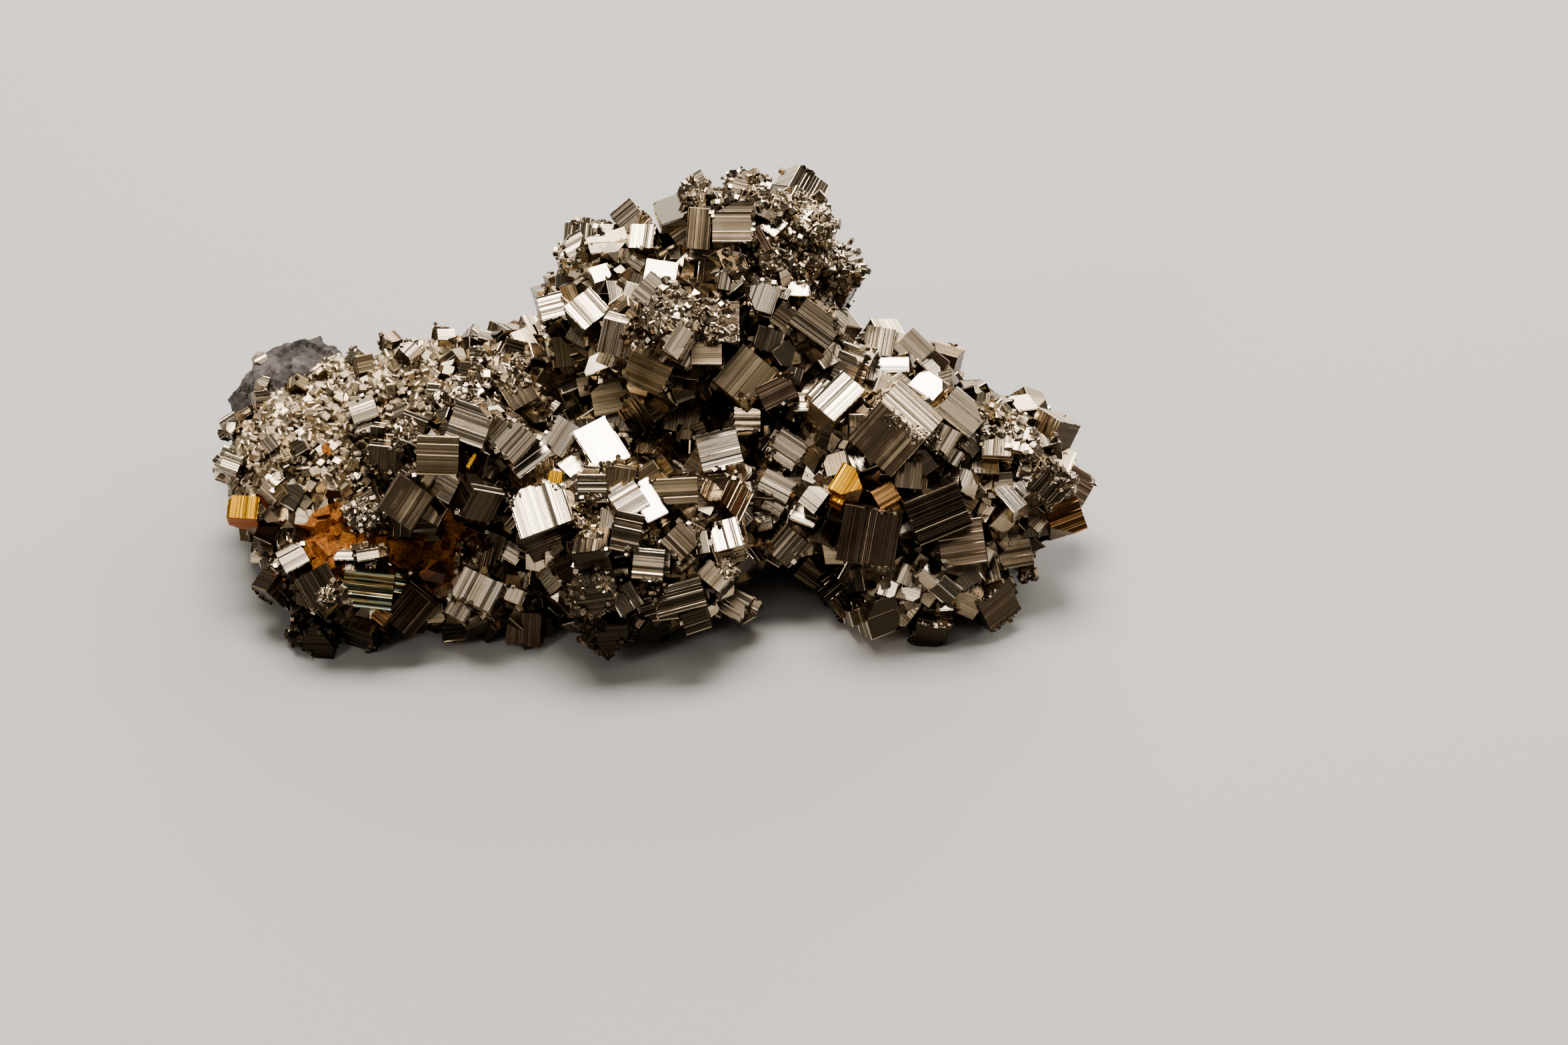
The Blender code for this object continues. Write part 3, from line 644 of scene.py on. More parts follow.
def growthLines(width, flats, rng):
    # flats at slightly different heights, joined by short steep steps; nought at both ends
    half, step = width / 2, growth["riser"]
    wider, steeper = flats
    rim = min(growth["rim"], width * growth["rimMost"])
    line = [(-half, 0.0), (rim - half, 0.0)]
    at = rim - half
    while True:
        tread = growth["tread"] * wider * rng.uniform(*growth["treadRange"])
        if at + step + tread > half - rim - step:
            break
        low = -growth["depth"] * rng.random()
        end = max(-growth["depth"], min(0.0, low + tread * rng.gauss(0, growth["tilt"] * steeper)))
        line += [(at + step, low), (at + step + tread, end)]
        at += step + tread
    return line + [(half - rim, 0.0), (half, 0.0)]


def cutOff(bm, point, normal):
    # what lies beyond a plane is taken off a closed shape, and the cut is closed with new faces
    bmesh.ops.bisect_plane(
        bm, geom=bm.verts[:] + bm.edges[:] + bm.faces[:], plane_co=point, plane_no=normal, clear_outer=True)
    rim = [edge for edge in bm.edges if edge.is_boundary]
    return bmesh.ops.holes_fill(bm, edges=rim, sides=0)["faces"]


def growBlock(size, turn, losses, toneValue, flats, rng):
    # A block of six lined faces. The lines run along X on the Z faces, along Y on the X faces and
    # along Z on the Y faces, so they always turn by a right angle from one face to the next.
    bm = bmesh.new()
    growthMap = bm.loops.layers.uv.new("growth")
    toneLayer = bm.faces.layers.float.new("tone")
    sides = [(axis, side) for axis in range(3) for side in (-1, 1)]
    lines = {key: growthLines(size[(key[0] + 2) % 3], flats, rng) for key in sides}
    corners = {}

    def rail(axis, side, end):
        # the points that a face's lines leave along one edge of the block
        row = []
        wear, last = growth["wear"], len(lines[axis, side]) - 1
        for number, (across, height) in enumerate(lines[axis, side]):
            spot = Vector()
            spot[axis] = side * (size[axis] / 2 + height)
            spot[(axis + 1) % 3] = end * (size[(axis + 1) % 3] / 2 - wear)
            spot[(axis + 2) % 3] = across
            if number in (0, last):
                spot[axis] -= side * wear
                spot[(axis + 2) % 3] -= math.copysign(wear, across)
            key = tuple(round(value * cornerKeys) for value in spot)
            if key not in corners:
                corners[key] = bm.verts.new(spot)
            row.append(corners[key])
        return row

    for axis, side in sides:
        low, high = rail(axis, side, -1), rail(axis, side, 1)
        rings = [(low[i], low[i + 1], high[i + 1], high[i]) for i in range(1, len(low) - 2)]
        across = (axis + 2) % 3
        rings.append([low[1], high[1]] + rail(across, -1, side)[::-1])
        rings.append([high[-2], low[-2]] + rail(across, 1, side))
        # painted light and shade: a face is painted lighter the more it looks up, darker the more it looks
        # down
        upward = side * turn.col[axis].z
        lowest, highest = paintedLightSpan
        lit = max(-1, min(1, (2 * upward - lowest - highest) / (highest - lowest)))
        faceTone = toneValue + paintedLightAndShade * lit + rng.gauss(0, growth["faceTone"])
        for ring in rings:
            face = bm.faces.new(ring)
            face[toneLayer] = faceTone + rng.gauss(0, growth["lineTone"] * flats[1])
            for loop in face.loops:
                loop[growthMap].uv = (loop.vert.co[(axis + 1) % 3] / mm, loop.vert.co[across] / mm)
    for corner, loss in losses:
        normal = Vector([sign * rng.uniform(*growth["cornerSlant"]) for sign in corner]).normalized()
        tip = Vector([sign * length / 2 for sign, length in zip(corner, size)])
        for face in cutOff(bm, tip - normal * loss, normal):
            face.material_index = 1
            face[toneLayer] = toneValue
    bmesh.ops.recalc_face_normals(bm, faces=bm.faces)
    return bm


def settle(bm):
    # what would stand below the surface it rests on is cut off flat
    if min(vertex.co.z for vertex in bm.verts) < 0:
        cutOff(bm, (0, 0, 0), (0, 0, -1))


def lostCorners(form, edge, clearFront, rng):
    # (corner, depth) of the corners that are missing from a block
    every = list(product((-1, 1), repeat=3))
    if form == "blunt":
        picked, span = rng.sample(every, growth["bluntCorners"]), growth["bluntLoss"]
    else:
        picked, span = rng.sample(every, rng.choice(growth["lostCorners"])), growth["cornerLoss"]
        if clearFront:
            picked = [corner for corner in picked if corner[2] < 0 or rng.random() < growth["frontLoss"]]
    return [(corner, edge * rng.uniform(*span)) for corner in picked]


# Fine crystals on edges and broken corners, grown nearly in line with the block they sit on
drusy = {
    "size": (0.15, 0.46),      # millimetres
    "gap": 0.27 * mm,          # between two along an edge
    "roughEdges": (1, 4),      # edges of a block that carry them, from and to
    "stray": 0.08 * mm,
    "turn": 16,                # degrees out of line
    "rows": ((-0.5, 0.1), (0.0, 0.5)),  # where a row begins and ends, in edges from the middle
    "cornerCount": 11,         # on a missing corner, for each square millimetre of its depth
    "cornerLeast": 2,
    "cornerReach": 1.3,        # how wide and how deep they sit there, of that depth
    "cornerDepth": 1.05,
    "inset": (0.8, 0.98),      # how far inside the rim of a corner and of an edge
    "bare": ("gilt", "copper", "rusted", "mirror", "iridescent"),  # finishes without them
}


def drusySpots(placed, losses, rng):
    size, spots = placed.size, []
    cornerInset, edgeInset = drusy["inset"]
    if placed.finish in drusy["bare"]:
        return spots

    def spot(local):
        stray = anyVector(rng, drusy["stray"])
        turn = nearlyAs(placed.turn, drusy["turn"], rng)
        spots.append((placed.middle + placed.turn @ (local + stray), turn.to_euler(),
                      rng.uniform(*drusy["size"]) * mm))

    for corner, loss in losses:
        tip = Vector([sign * length / 2 for sign, length in zip(corner, size)])
        normal = Vector(corner).normalized()
        reach = loss * drusy["cornerReach"]
        for _ in range(int(drusy["cornerCount"] * (loss / mm) ** 2) + drusy["cornerLeast"]):
            swing = anyVector(rng)
            flat = (swing - normal * swing.dot(normal)).normalized() * reach * math.sqrt(rng.random())
            spot(tip - normal * loss * drusy["cornerDepth"] + flat * cornerInset)
    edges = list(product(range(3), (-1, 1), (-1, 1)))
    for axis, first, second in rng.sample(edges, rng.randint(*drusy["roughEdges"])):
        length = size[axis]
        begin, end = sorted(rng.uniform(*span) for span in drusy["rows"])
        count = int((end - begin) * length / drusy["gap"])
        for number in range(count):
            local = Vector()
            local[axis] = length * (begin + (end - begin) * (number + rng.random()) / max(count, 1))
            local[(axis + 1) % 3] = first * size[(axis + 1) % 3] / 2 * edgeInset
            local[(axis + 2) % 3] = second * size[(axis + 2) % 3] / 2 * edgeInset
            spot(local)
    return spots


# Places where fine crystals cover blocks and crust alike: where in the picture, and the radius in mm
drusyPatches = {
    "summitRight": ((1246, 372), 5.0),
    "summitCrown": ((1206, 322), 2.8),
    "summitTop": ((1152, 282), 2.0),
    "summitBack": ((1042, 288), 1.8),
    "summitCentre": ((1132, 388), 2.6),
    "summitUnder": ((1232, 420), 2.8),
    "summitShelf": ((1015, 465), 2.6),
    "summitShelfLeft": ((972, 500), 2.0),
    "summitShelfRight": ((1072, 486), 2.2),
    "leftCrest": ((752, 556), 3.0),
    "leftCrestEnd": ((690, 590), 1.8),
    "leftBlocks": ((603, 655), 1.6),
    "leftBall": ((546, 776), 1.9),
    "frontBlock": ((893, 782), 2.4),
    "frontMiddle": ((962, 812), 1.3),
    "cubeEdge": ((1318, 603), 0.9),
    "cubeEdgeMiddle": ((1344, 628), 0.9),
    "cubeEdgeEnd": ((1376, 648), 1.0),
    "cubeEdgeFoot": ((1398, 660), 0.9),
    "rightCrest": ((1498, 622), 3.0),
    "rightCrestEnd": ((1552, 668), 2.4),
    "rightEnd": ((1600, 712), 1.6),
    "rightFoot": ((1532, 872), 2.0),
    "frontFoot": ((1098, 850), 1.2),
    "leftFoot": ((505, 900), 1.8),
}
patch = {
    "density": 6.5,            # fine crystals on a square millimetre
    "size": (0.28, 0.95),      # millimetres
    "spread": 30,              # degrees between them
    "width": 2.0,              # the radius, in millimetres, below which they are smaller and closer
    "slant": 0.45,             # how far they look round the sight line
    "before": 9,               # how far in front of it they come from, in millimetres
    "travel": 14,              # and how far they go at most
    "within": 1.25,            # radii
    "sink": 0.28,              # of a crystal's size
}


def surfaceTree(surfaces):
    # everything made so far, to find what a line meets first
    points, faces = [], []
    for surface in surfaces:
        first = len(points)
        points += [vertex.co for vertex in surface.data.vertices]
        faces += [[first + number for number in face.vertices] for face in surface.data.polygons]
    return BVHTree.FromPolygons(points, faces)


def patchSpots(tree, rng):
    spots = []
    for pixel, radius in drusyPatches.values():
        direction = sightLine(pixel)
        centre = tree.ray_cast(eye, direction)[0] or crustPoint(direction)
        common = Euler([rng.uniform(0, math.tau) for _ in range(3)]).to_matrix()
        share = min(1.0, radius / patch["width"])
        for _ in range(int(patch["density"] * math.pi * (radius / share) ** 2)):
            way = (direction + anyVector(rng, patch["slant"])).normalized()
            swing = anyVector(rng)
            aside = (swing - way * swing.dot(way)).normalized() * radius * mm * math.sqrt(rng.random())
            hit = tree.ray_cast(centre + aside - way * patch["before"] * mm, way, patch["travel"] * mm)[0]
            turn = nearlyAs(common, patch["spread"], rng)
            size = rng.uniform(*patch["size"]) * share * mm
            if hit is not None and (hit - centre).length < radius * patch["within"] * mm:
                spots.append((hit + way * size * patch["sink"], turn.to_euler(), size))
    return spots


def toneOf(height, rng):
    # a block's own tone at random, with painted shade that darkens it towards the foot
    darker, reach = paintedFootShade
    return min(brightest, max(0.0, rng.gauss(*blockTone))) - darker * max(0.0, 1 - height / reach)


def meshFrom(bm, name):
    mesh = bpy.data.meshes.new(name)
    bm.to_mesh(mesh)
    bm.free()
    return mesh


def addAttribute(mesh, name, values, kind="FLOAT"):
    # a number or a vector for each point
    layer = mesh.attributes.new(name, kind, "POINT")
    layer.data.foreach_set("vector" if kind == "FLOAT_VECTOR" else "value", values)


def linkObject(name, data):
    made = bpy.data.objects.new(name, data)
    bpy.context.scene.collection.objects.link(made)
    return made


def growMate(placed, edge, rng):
    # a smaller block on one of the sides of a large one, nearly in line with it
    share, aside = rng.uniform(*growth["mateSize"]), growth["mateAside"]
    lengths = [length * share * rng.uniform(*growth["mateStretch"]) for length in placed.size]
    way = Vector(rng.choice(((1, 0, 0), (-1, 0, 0), (0, 1, 0), (0, -1, 0))))
    side = Vector((way.y, way.x, 0)) * rng.uniform(-aside, aside)
    out = way * rng.uniform(*growth["mateOut"])
    offset = (out + side + Vector((0, 0, rng.uniform(*growth["mateDepth"])))) * edge
    turn = nearlyAs(placed.turn, growth["mateTurn"], rng)
    return placed._replace(middle=placed.middle + placed.turn @ offset, turn=turn, size=Vector(lengths))


def growPiece(name, placedCrystals, rng):
    # all blocks of one part of the specimen in one mesh, and the spots for its fine crystals
    whole = bmesh.new()
    spots = []
    finishes = sorted({placed.finish for placed in placedCrystals})
    slots = ["rough"] + finishes
    for placed in placedCrystals:
        blocks = [(placed, placed.form)]
        edge = max(placed.size)
        if edge > growth["mateFrom"] and placed.form != "single":
            for _ in range(rng.choice(growth["mates"])):
                blocks.append((growMate(placed, edge, rng), "cube"))
        toneValue = toneOf(placed.middle.z, rng)
        for block, form in blocks:
            losses = lostCorners(form, max(block.size), block.shown, rng)
            flats = calmFlats.get(block.finish, usualFlats)
            lineRng = random.Random(rng.random())
            bm = growBlock(block.size, block.turn, losses, toneValue, flats, lineRng)
            for face in bm.faces:
                face.material_index = 0 if face.material_index else slots.index(block.finish)
            place = Matrix.Translation(block.middle) @ block.turn.to_4x4()
            bmesh.ops.transform(bm, matrix=place, verts=bm.verts)
            settle(bm)
            part = meshFrom(bm, "block")
            whole.from_mesh(part)
            bpy.data.meshes.remove(part)
            spots += drusySpots(block, losses, rng)
    mesh = meshFrom(whole, name)
    mesh.materials.append(materials["rough"])
    for finish in finishes:
        mesh.materials.append(materials[finish])
    return linkObject(name, mesh), spots


# The crust that carries the cubes

crust = {
    "voxel": 0.46 * mm,
    "sink": 1.0 * mm,          # how far the lobes shrink, to make room for the crystals on them
    "rough": 0.35 * mm,
    "lumps": 2.2,              # millimetres across a lump
    "steps": 1.6,              # small steps to a millimetre, and how strong they are
    "stepShare": 0.6,
    "fineTo": (-24, -7),       # the x and y, in millimetres, up to which the crystals are fine
    "coarserOver": (9, 4),     # and over how many they grow coarse
    "rustedZone": 2.0,         # a number for the rusted places; others say how coarse they are, up to one
}


def dropPockets(mesh):
    # the few closed pockets that are left inside, where lobes meet
    bm = bmesh.new()
    bm.from_mesh(mesh)
    outer, waiting = set(), [max(bm.verts, key=lambda vertex: vertex.co.z)]
    while waiting:
        vertex = waiting.pop()
        if vertex not in outer:
            outer.add(vertex)
            waiting += [edge.other_vert(vertex) for edge in vertex.link_edges]
    inner = [vertex for vertex in bm.verts if vertex not in outer]
    bmesh.ops.delete(bm, geom=inner, context="VERTS")
    bm.to_mesh(mesh)
    bm.free()


def bake(obj):
    # the modifiers' result as a plain mesh
    graph = bpy.context.evaluated_depsgraph_get()
    mesh = bpy.data.meshes.new_from_object(obj.evaluated_get(graph))
    obj.modifiers.clear()
    obj.data = mesh
    return obj


def joinedSkin(name, bm, voxel):
    # all shapes in bm as one closed skin
    skin = linkObject(name, meshFrom(bm, name))
    remesh = skin.modifiers.new("Remesh", "REMESH")
    remesh.mode = "VOXEL"
    remesh.voxel_size = voxel
    return bake(skin)


def roughen(mesh, swellAt, depth):
    # moves each point of a skin along its normal, by what swellAt gives for its place in millimetres
    normals = [vertex.normal.copy() for vertex in mesh.vertices]
    for vertex, normal in zip(mesh.vertices, normals):
        vertex.co += normal * swellAt(vertex.co / mm) * depth


def growCrust(name):
    bm = bmesh.new()
    for lobe in lobes.values():
        ball = bmesh.ops.create_icosphere(bm, subdivisions=3, radius=1)
        for vertex in ball["verts"]:
            vertex.co = (Vector(lobe.centre) + vertex.co * Vector(lobe.radii)) * mm
            vertex.co -= (vertex.co - Vector(lobe.centre) * mm).normalized() * crust["sink"]

    def swellAt(point):
        return noise.noise(point / crust["lumps"]) + crust["stepShare"] * noise.cell(point * crust["steps"])

    skin = joinedSkin(name, bm, crust["voxel"])
    roughen(skin.data, swellAt, crust["rough"])
    for vertex in skin.data.vertices:
        vertex.co.z = max(0.0, vertex.co.z)
    return skin


def grainAt(point):
    # the crystals are fine over the left end and grow coarser to the right and the front
    (alongFrom, frontFrom), (alongOver, frontOver) = crust["fineTo"], crust["coarserOver"]
    along = (point.x / mm - alongFrom) / alongOver
    front = (frontFrom - point.y / mm) / frontOver
    return max(0.0, min(1.0, max(along, front)))


def zoneOf(point, rustedPlaces):
    if any((point - place).length < radius * mm for place, radius in rustedPlaces):
        return crust["rustedZone"]
    return grainAt(point)


def keepAbove(mesh):
    # nothing goes below what the specimen stands on
    places = [value for vertex in mesh.vertices for value in (*vertex.co.xy, max(0.0, vertex.co.z))]
    mesh.vertices.foreach_set("co", places)
    mesh.update()


def addModifier(obj, tree, values):
    modifier = obj.modifiers.new(tree.name, "NODES")
    modifier.node_group = tree
    for item in tree.interface.items_tree:
        if item.in_out == "INPUT" and item.name in values:
            modifier[item.identifier] = values[item.name]


def newTree(name, inputs):
    tree = bpy.data.node_groups.new(name, "GeometryNodeTree")
    tree.interface.new_socket("Geometry", in_out="INPUT", socket_type="NodeSocketGeometry")
    for title, kind in inputs:
        tree.interface.new_socket(title, in_out="INPUT", socket_type=kind)
    tree.interface.new_socket("Geometry", in_out="OUTPUT", socket_type="NodeSocketGeometry")
    return tree, tree.nodes.new("NodeGroupInput").outputs


scattered = {
    "density": 8e6,            # points tried on a square metre, before those that stand too close go
    "tones": (0.02, 0.5),      # from dull to bright, of whole crystals on the crust
    "drusyTones": (0.1, 0.55), # the same on edges and in patches
    "faceTone": 0.12,          # how much the faces of one crystal differ
}


def faceTones(tree, geometry, seed):
    # the tone of each whole crystal becomes one for each face, with painted shade where that looks down and
    # painted light where it looks up
    normal = tree.nodes.new("GeometryNodeInputNormal").outputs["Normal"]
    upward = addNode(tree, "ShaderNodeSeparateXYZ", inputs={0: normal}).outputs["Z"]
    turned = addNode(tree, "ShaderNodeMapRange", inputs={
        "Value": upward, "From Min": paintedLightSpan[0], "From Max": paintedLightSpan[1],
        "To Min": -paintedLightAndShade, "To Max": paintedLightAndShade})
    own = addNode(tree, "FunctionNodeRandomValue", inputs={
        2: -scattered["faceTone"], 3: scattered["faceTone"], "Seed": seed})
    tone = addNode(tree, "GeometryNodeInputNamedAttribute", inputs={"Name": "tone"})
    first = addNode(tree, "ShaderNodeMath", {"operation": "ADD"}, {0: tone.outputs[0], 1: own.outputs[1]})
    both = addNode(tree, "ShaderNodeMath", {"operation": "ADD"},
                   {0: first.outputs[0], 1: turned.outputs["Result"]})
    return addNode(tree, "GeometryNodeStoreNamedAttribute", {"domain": "FACE"},
                   {"Geometry": geometry, "Name": "tone", "Value": both.outputs[0]}).outputs[0]


def heightIn(tree):
    place = tree.nodes.new("GeometryNodeInputPosition").outputs["Position"]
    return addNode(tree, "ShaderNodeSeparateXYZ", inputs={0: place}).outputs["Z"]


def standCrystals(tree, given, spots, tones):
    # the end of both trees: a crystal on each point, with a tone of its own and painted shade that darkens it
    # at the foot
    kinds = addNode(tree, "GeometryNodeCollectionInfo", inputs={
        "Collection": given["Crystals"], "Separate Children": True, "Reset Children": True})
    standing = addNode(tree, "GeometryNodeInstanceOnPoints", inputs={
        **spots, "Instance": kinds.outputs[0], "Pick Instance": True})
    own = addNode(tree, "FunctionNodeRandomValue", inputs={2: tones[0], 3: tones[1], "Seed": given["Seed"]})
    darker = addNode(tree, "ShaderNodeMapRange", inputs={
        "Value": heightIn(tree), "From Max": paintedFootShade[1], "To Min": -paintedFootShade[0], "To Max": 0.0})
    tone = addNode(tree, "ShaderNodeMath", {"operation": "ADD"},
                   {0: own.outputs[1], 1: darker.outputs["Result"]})
    toned = addNode(tree, "GeometryNodeStoreNamedAttribute", {"domain": "INSTANCE"},
                    {"Geometry": standing.outputs[0], "Name": "tone", "Value": tone.outputs[0]})
    real = addNode(tree, "GeometryNodeRealizeInstances", inputs={"Geometry": toned.outputs[0]})
    finished = addNode(tree, "GeometryNodeSetMaterial", inputs={
        "Geometry": faceTones(tree, real.outputs[0], given["Seed"]), "Material": given["Material"]})
    addNode(tree, "NodeGroupOutput", inputs={"Geometry": finished.outputs[0]})
    return tree


def scatterTree():
    # small crystals over one zone of a surface, tilted at random, finer where its grain is low
    numbers = ("Gap", "Smallest", "Largest", "Fine Share", "Tilt", "Lowest", "From Zone", "To Zone")
    tree, given = newTree("crystals over the crust", [
        ("Crystals", "NodeSocketCollection"), *[(title, "NodeSocketFloat") for title in numbers],
        ("Seed", "NodeSocketInt"), ("Material", "NodeSocketMaterial")])
    grain = addNode(tree, "GeometryNodeInputNamedAttribute", inputs={"Name": "grain"}).outputs[0]
    zone = addNode(tree, "GeometryNodeInputNamedAttribute", inputs={"Name": "zone"}).outputs[0]
    wanted = addNode(tree, "FunctionNodeCompare", {"operation": "GREATER_THAN"},
                     {0: heightIn(tree), 1: given["Lowest"]})
    for operation, limit in (("GREATER_EQUAL", "From Zone"), ("LESS_EQUAL", "To Zone")):
        within = addNode(tree, "FunctionNodeCompare", {"operation": operation}, {0: zone, 1: given[limit]})
        wanted = addNode(tree, "FunctionNodeBooleanMath", {"operation": "AND"},
                         {0: wanted.outputs[0], 1: within.outputs[0]})
    spots = addNode(tree, "GeometryNodeDistributePointsOnFaces", {"distribute_method": "POISSON"}, {
        "Mesh": given["Geometry"], "Selection": wanted.outputs[0], "Distance Min": given["Gap"],
        "Density Max": scattered["density"], "Seed": given["Seed"]})
    tilt = addNode(tree, "ShaderNodeVectorMath", {"operation": "MULTIPLY"},
                   {0: (1.0, 1.0, 0.0), 1: given["Tilt"]})
    lowTilt = addNode(tree, "ShaderNodeVectorMath", {"operation": "MULTIPLY"},
                      {0: tilt.outputs[0], 1: (-1.0, -1.0, -1.0)})
    fullTurn = addNode(tree, "ShaderNodeVectorMath", {"operation": "ADD"},
                       {0: tilt.outputs[0], 1: (0.0, 0.0, math.tau)})
    spread = addNode(tree, "FunctionNodeRandomValue", {"data_type": "FLOAT_VECTOR"},
                     {0: lowTilt.outputs[0], 1: fullTurn.outputs[0], "Seed": given["Seed"]})
    turned = addNode(tree, "FunctionNodeEulerToRotation", inputs={0: spread.outputs[0]})
    turn = addNode(tree, "FunctionNodeRotateRotation", {"rotation_space": "LOCAL"},
                   {0: spots.outputs["Rotation"], 1: turned.outputs[0]})
    size = addNode(tree, "FunctionNodeRandomValue", inputs={
        2: given["Smallest"], 3: given["Largest"], "Seed": given["Seed"]})
    share = addNode(tree, "ShaderNodeMapRange", inputs={"Value": grain, "To Min": given["Fine Share"]})
    scaled = addNode(tree, "ShaderNodeMath", {"operation": "MULTIPLY"},
                     {0: size.outputs[1], 1: share.outputs["Result"]})
    return standCrystals(tree, given, {
        "Points": spots.outputs["Points"], "Rotation": turn.outputs[0], "Scale": scaled.outputs[0],
    }, scattered["tones"])


def drusyTree():
    # a fine crystal on each point, turned and sized by the point's own attributes
    tree, given = newTree("fine crystals on edges", [
        ("Crystals", "NodeSocketCollection"), ("Seed", "NodeSocketInt"), ("Material", "NodeSocketMaterial")])
    points = addNode(tree, "GeometryNodeMeshToPoints", inputs={"Mesh": given["Geometry"]})
    turn = addNode(tree, "GeometryNodeInputNamedAttribute", {"data_type": "FLOAT_VECTOR"}, {"Name": "turn"})
    size = addNode(tree, "GeometryNodeInputNamedAttribute", inputs={"Name": "size"})
    turned = addNode(tree, "FunctionNodeEulerToRotation", inputs={0: turn.outputs[0]})
    return standCrystals(tree, given, {
        "Points": points.outputs[0], "Rotation": turned.outputs[0], "Scale": size.outputs[0],
    }, scattered["drusyTones"])


small = {
    "kinds": {"lined": (8, 5), "plain": (6, 6), "worn": (6, 7)},  # how many unlike ones, and the seed
    "size": (0.75, 1.15),
    "chamfer": (0.10, 0.20),   # of the edge, on the worn ones
    "cornerLoss": 0.3,         # on every other plain one
    "linedEdge": 2.4 * mm,     # the size for which the growth lines are drawn
    "linedFlats": (3.4, 1.0),
    "tone": 0.3,
}


def smallKinds(kind, count, rng):
    # a few unlike blocks, an edge of about one, for the trees to pick from
    name = f"{kind}Crystal"
    kinds = bpy.data.collections.new(name)
    for number in range(count):
        size = Vector([rng.uniform(*small["size"]) for _ in range(3)])
        if kind == "lined":
            edge = small["linedEdge"]
            losses = lostCorners("cube", edge, False, rng)
            bm = growBlock(size * edge, Matrix.Identity(3), losses, small["tone"], small["linedFlats"], rng)
            bmesh.ops.scale(bm, vec=(1 / edge, 1 / edge, 1 / edge), verts=bm.verts)
        else:
            bm = bmesh.new()
            bmesh.ops.create_cube(bm, size=1)
            bmesh.ops.scale(bm, vec=size, verts=bm.verts)
            if kind == "worn":
                chamfer = rng.uniform(*small["chamfer"])
                bmesh.ops.bevel(bm, geom=bm.edges[:], offset=chamfer, segments=1, affect="EDGES")
            elif number % 2:
                corner = rng.sample(bm.verts[:], 1)
                bmesh.ops.bevel(bm, geom=corner, offset=small["cornerLoss"], segments=1, affect="VERTICES")
        title = f"{name}{number}"
        kinds.objects.link(bpy.data.objects.new(title, meshFrom(bm, title)))
    return kinds


def dropKinds(collection):
    for obj in list(collection.objects):
        bpy.data.objects.remove(obj)
    bpy.data.collections.remove(collection)


def addPiece(obj, node):
    # a finished piece: moved from the layout to the frame, and said to stand for its solid
    obj.data.transform(Matrix.Translation(-footprintMiddle))
    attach(obj, "root")
    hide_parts(node)
    triangles = sum(len(face.vertices) - 2 for face in obj.data.polygons)
    print("made", obj.name, "of", triangles, "triangles")


# Host rock: a dull broken lump

rock = {
    "corners": 40,             # of the broken lump, before its ledges
    "seed": 3,
    "voxel": 0.3 * mm,
    "rough": 0.80 * mm,
    "swells": (2.0, 0.5),      # millimetres across, and their share
    "ledges": ((0.25, 0.4, 0.9), 0.3, 0.4),  # to the millimetre along x, y and z, their slope and share
    "grit": (1.7, 0.3),        # to the millimetre, and their share
    "settled": 0.5,            # how far all of it lies inside the lump
    "tints": ("#2b2928", "#4f4b4b", "#787372"),
    "stops": (0.5, 0.75, 1.0),
    "grain": 0.45,             # millimetres across a grain and across a patch
    "patch": 3.0,
    "detail": 5.0,
    "sharpness": 0.6,
    "grainShare": 0.5,
    "relief": 0.06 * mm,
    "strength": 0.7,
    "roughness": 0.82,
}


def growHostRock(name):
    rng = random.Random(rock["seed"])
    bm = bmesh.new()
    for _ in range(rock["corners"]):
        way = anyVector(rng).normalized()
        bm.verts.new((Vector(hostRock.centre) + way * Vector(hostRock.radii)) * mm)
    hull = bmesh.ops.convex_hull(bm, input=bm.verts)
    inner = [part for part in hull["geom_interior"] if isinstance(part, bmesh.types.BMVert)]
    bmesh.ops.delete(bm, geom=inner, context="VERTS")
    bmesh.ops.recalc_face_normals(bm, faces=bm.faces)
    (swellWidth, swellShare), (gritCount, gritShare) = rock["swells"], rock["grit"]
    (along, back, up), slope, ledgeShare = rock["ledges"]

    def swellAt(point):
        ledge = noise.cell(Vector((point.x * along, point.y * back, point.z * up + slope * point.x)))
        swell = swellShare * noise.noise(point / swellWidth) + ledgeShare * ledge
        return swell + gritShare * noise.noise(point * gritCount) - rock["settled"]

    skin = joinedSkin(name, bm, rock["voxel"])
    roughen(skin.data, swellAt, rock["rough"])
    return skin


def hostRockFinish():
    # shale-like host rock, broken and unpolished: no gloss, grey with a lilac cast
    made, tree, shader = newMaterial("host rock, broken shale")
    _, grain, cloud, relief = roughTextures(tree, rock)
    mixed = addNode(tree, "ShaderNodeMath", {"operation": "MULTIPLY_ADD"},
                    {0: grain.outputs["Fac"], 1: rock["grainShare"], 2: cloud.outputs["Fac"]})
    colour = tintRamp(tree, mixed.outputs[0], rock["stops"], rock["tints"])
    fillInputs(tree, shader, {"Base Color": colour, "Roughness": rock["roughness"], "Normal": relief})
    return made


# Making it

seeds = {"blocks": 40, "patches": 50, "smallBlocks": 51, "fine": 31}
materials = {name: pyriteFinish(name) for name in pyriteFinishes}
materials["rough"] = roughPyrite("pyrite, drusy and rough-grown corners", "drusy", False)
materials["fine"] = roughPyrite("pyrite, granular with rust", "granular", True)
materials["crust"] = roughPyrite("pyrite, massive crust with rust", "massive", True)
materials["hostRock"] = hostRockFinish()
print("materials ready")

standing = {area: [placeShown(crystal) for crystal in group] for area, group in crystals.items()}
edges = [crystal.edge * mm for group in crystals.values() for crystal in group]
shownOnes = [placed for group in standing.values() for placed in group]
standing["sides"] = placeOthers(list(zip(shownOnes, edges)))
edgeSpots, blockPieces = [], []
for number, (area, group) in enumerate(standing.items()):
    rng = random.Random(seeds["blocks"] + number)
    piece, spots = growPiece(f"pyrite_{area}", group, rng)
    edgeSpots += spots
    blockPieces.append(piece)
print("cubes grown")

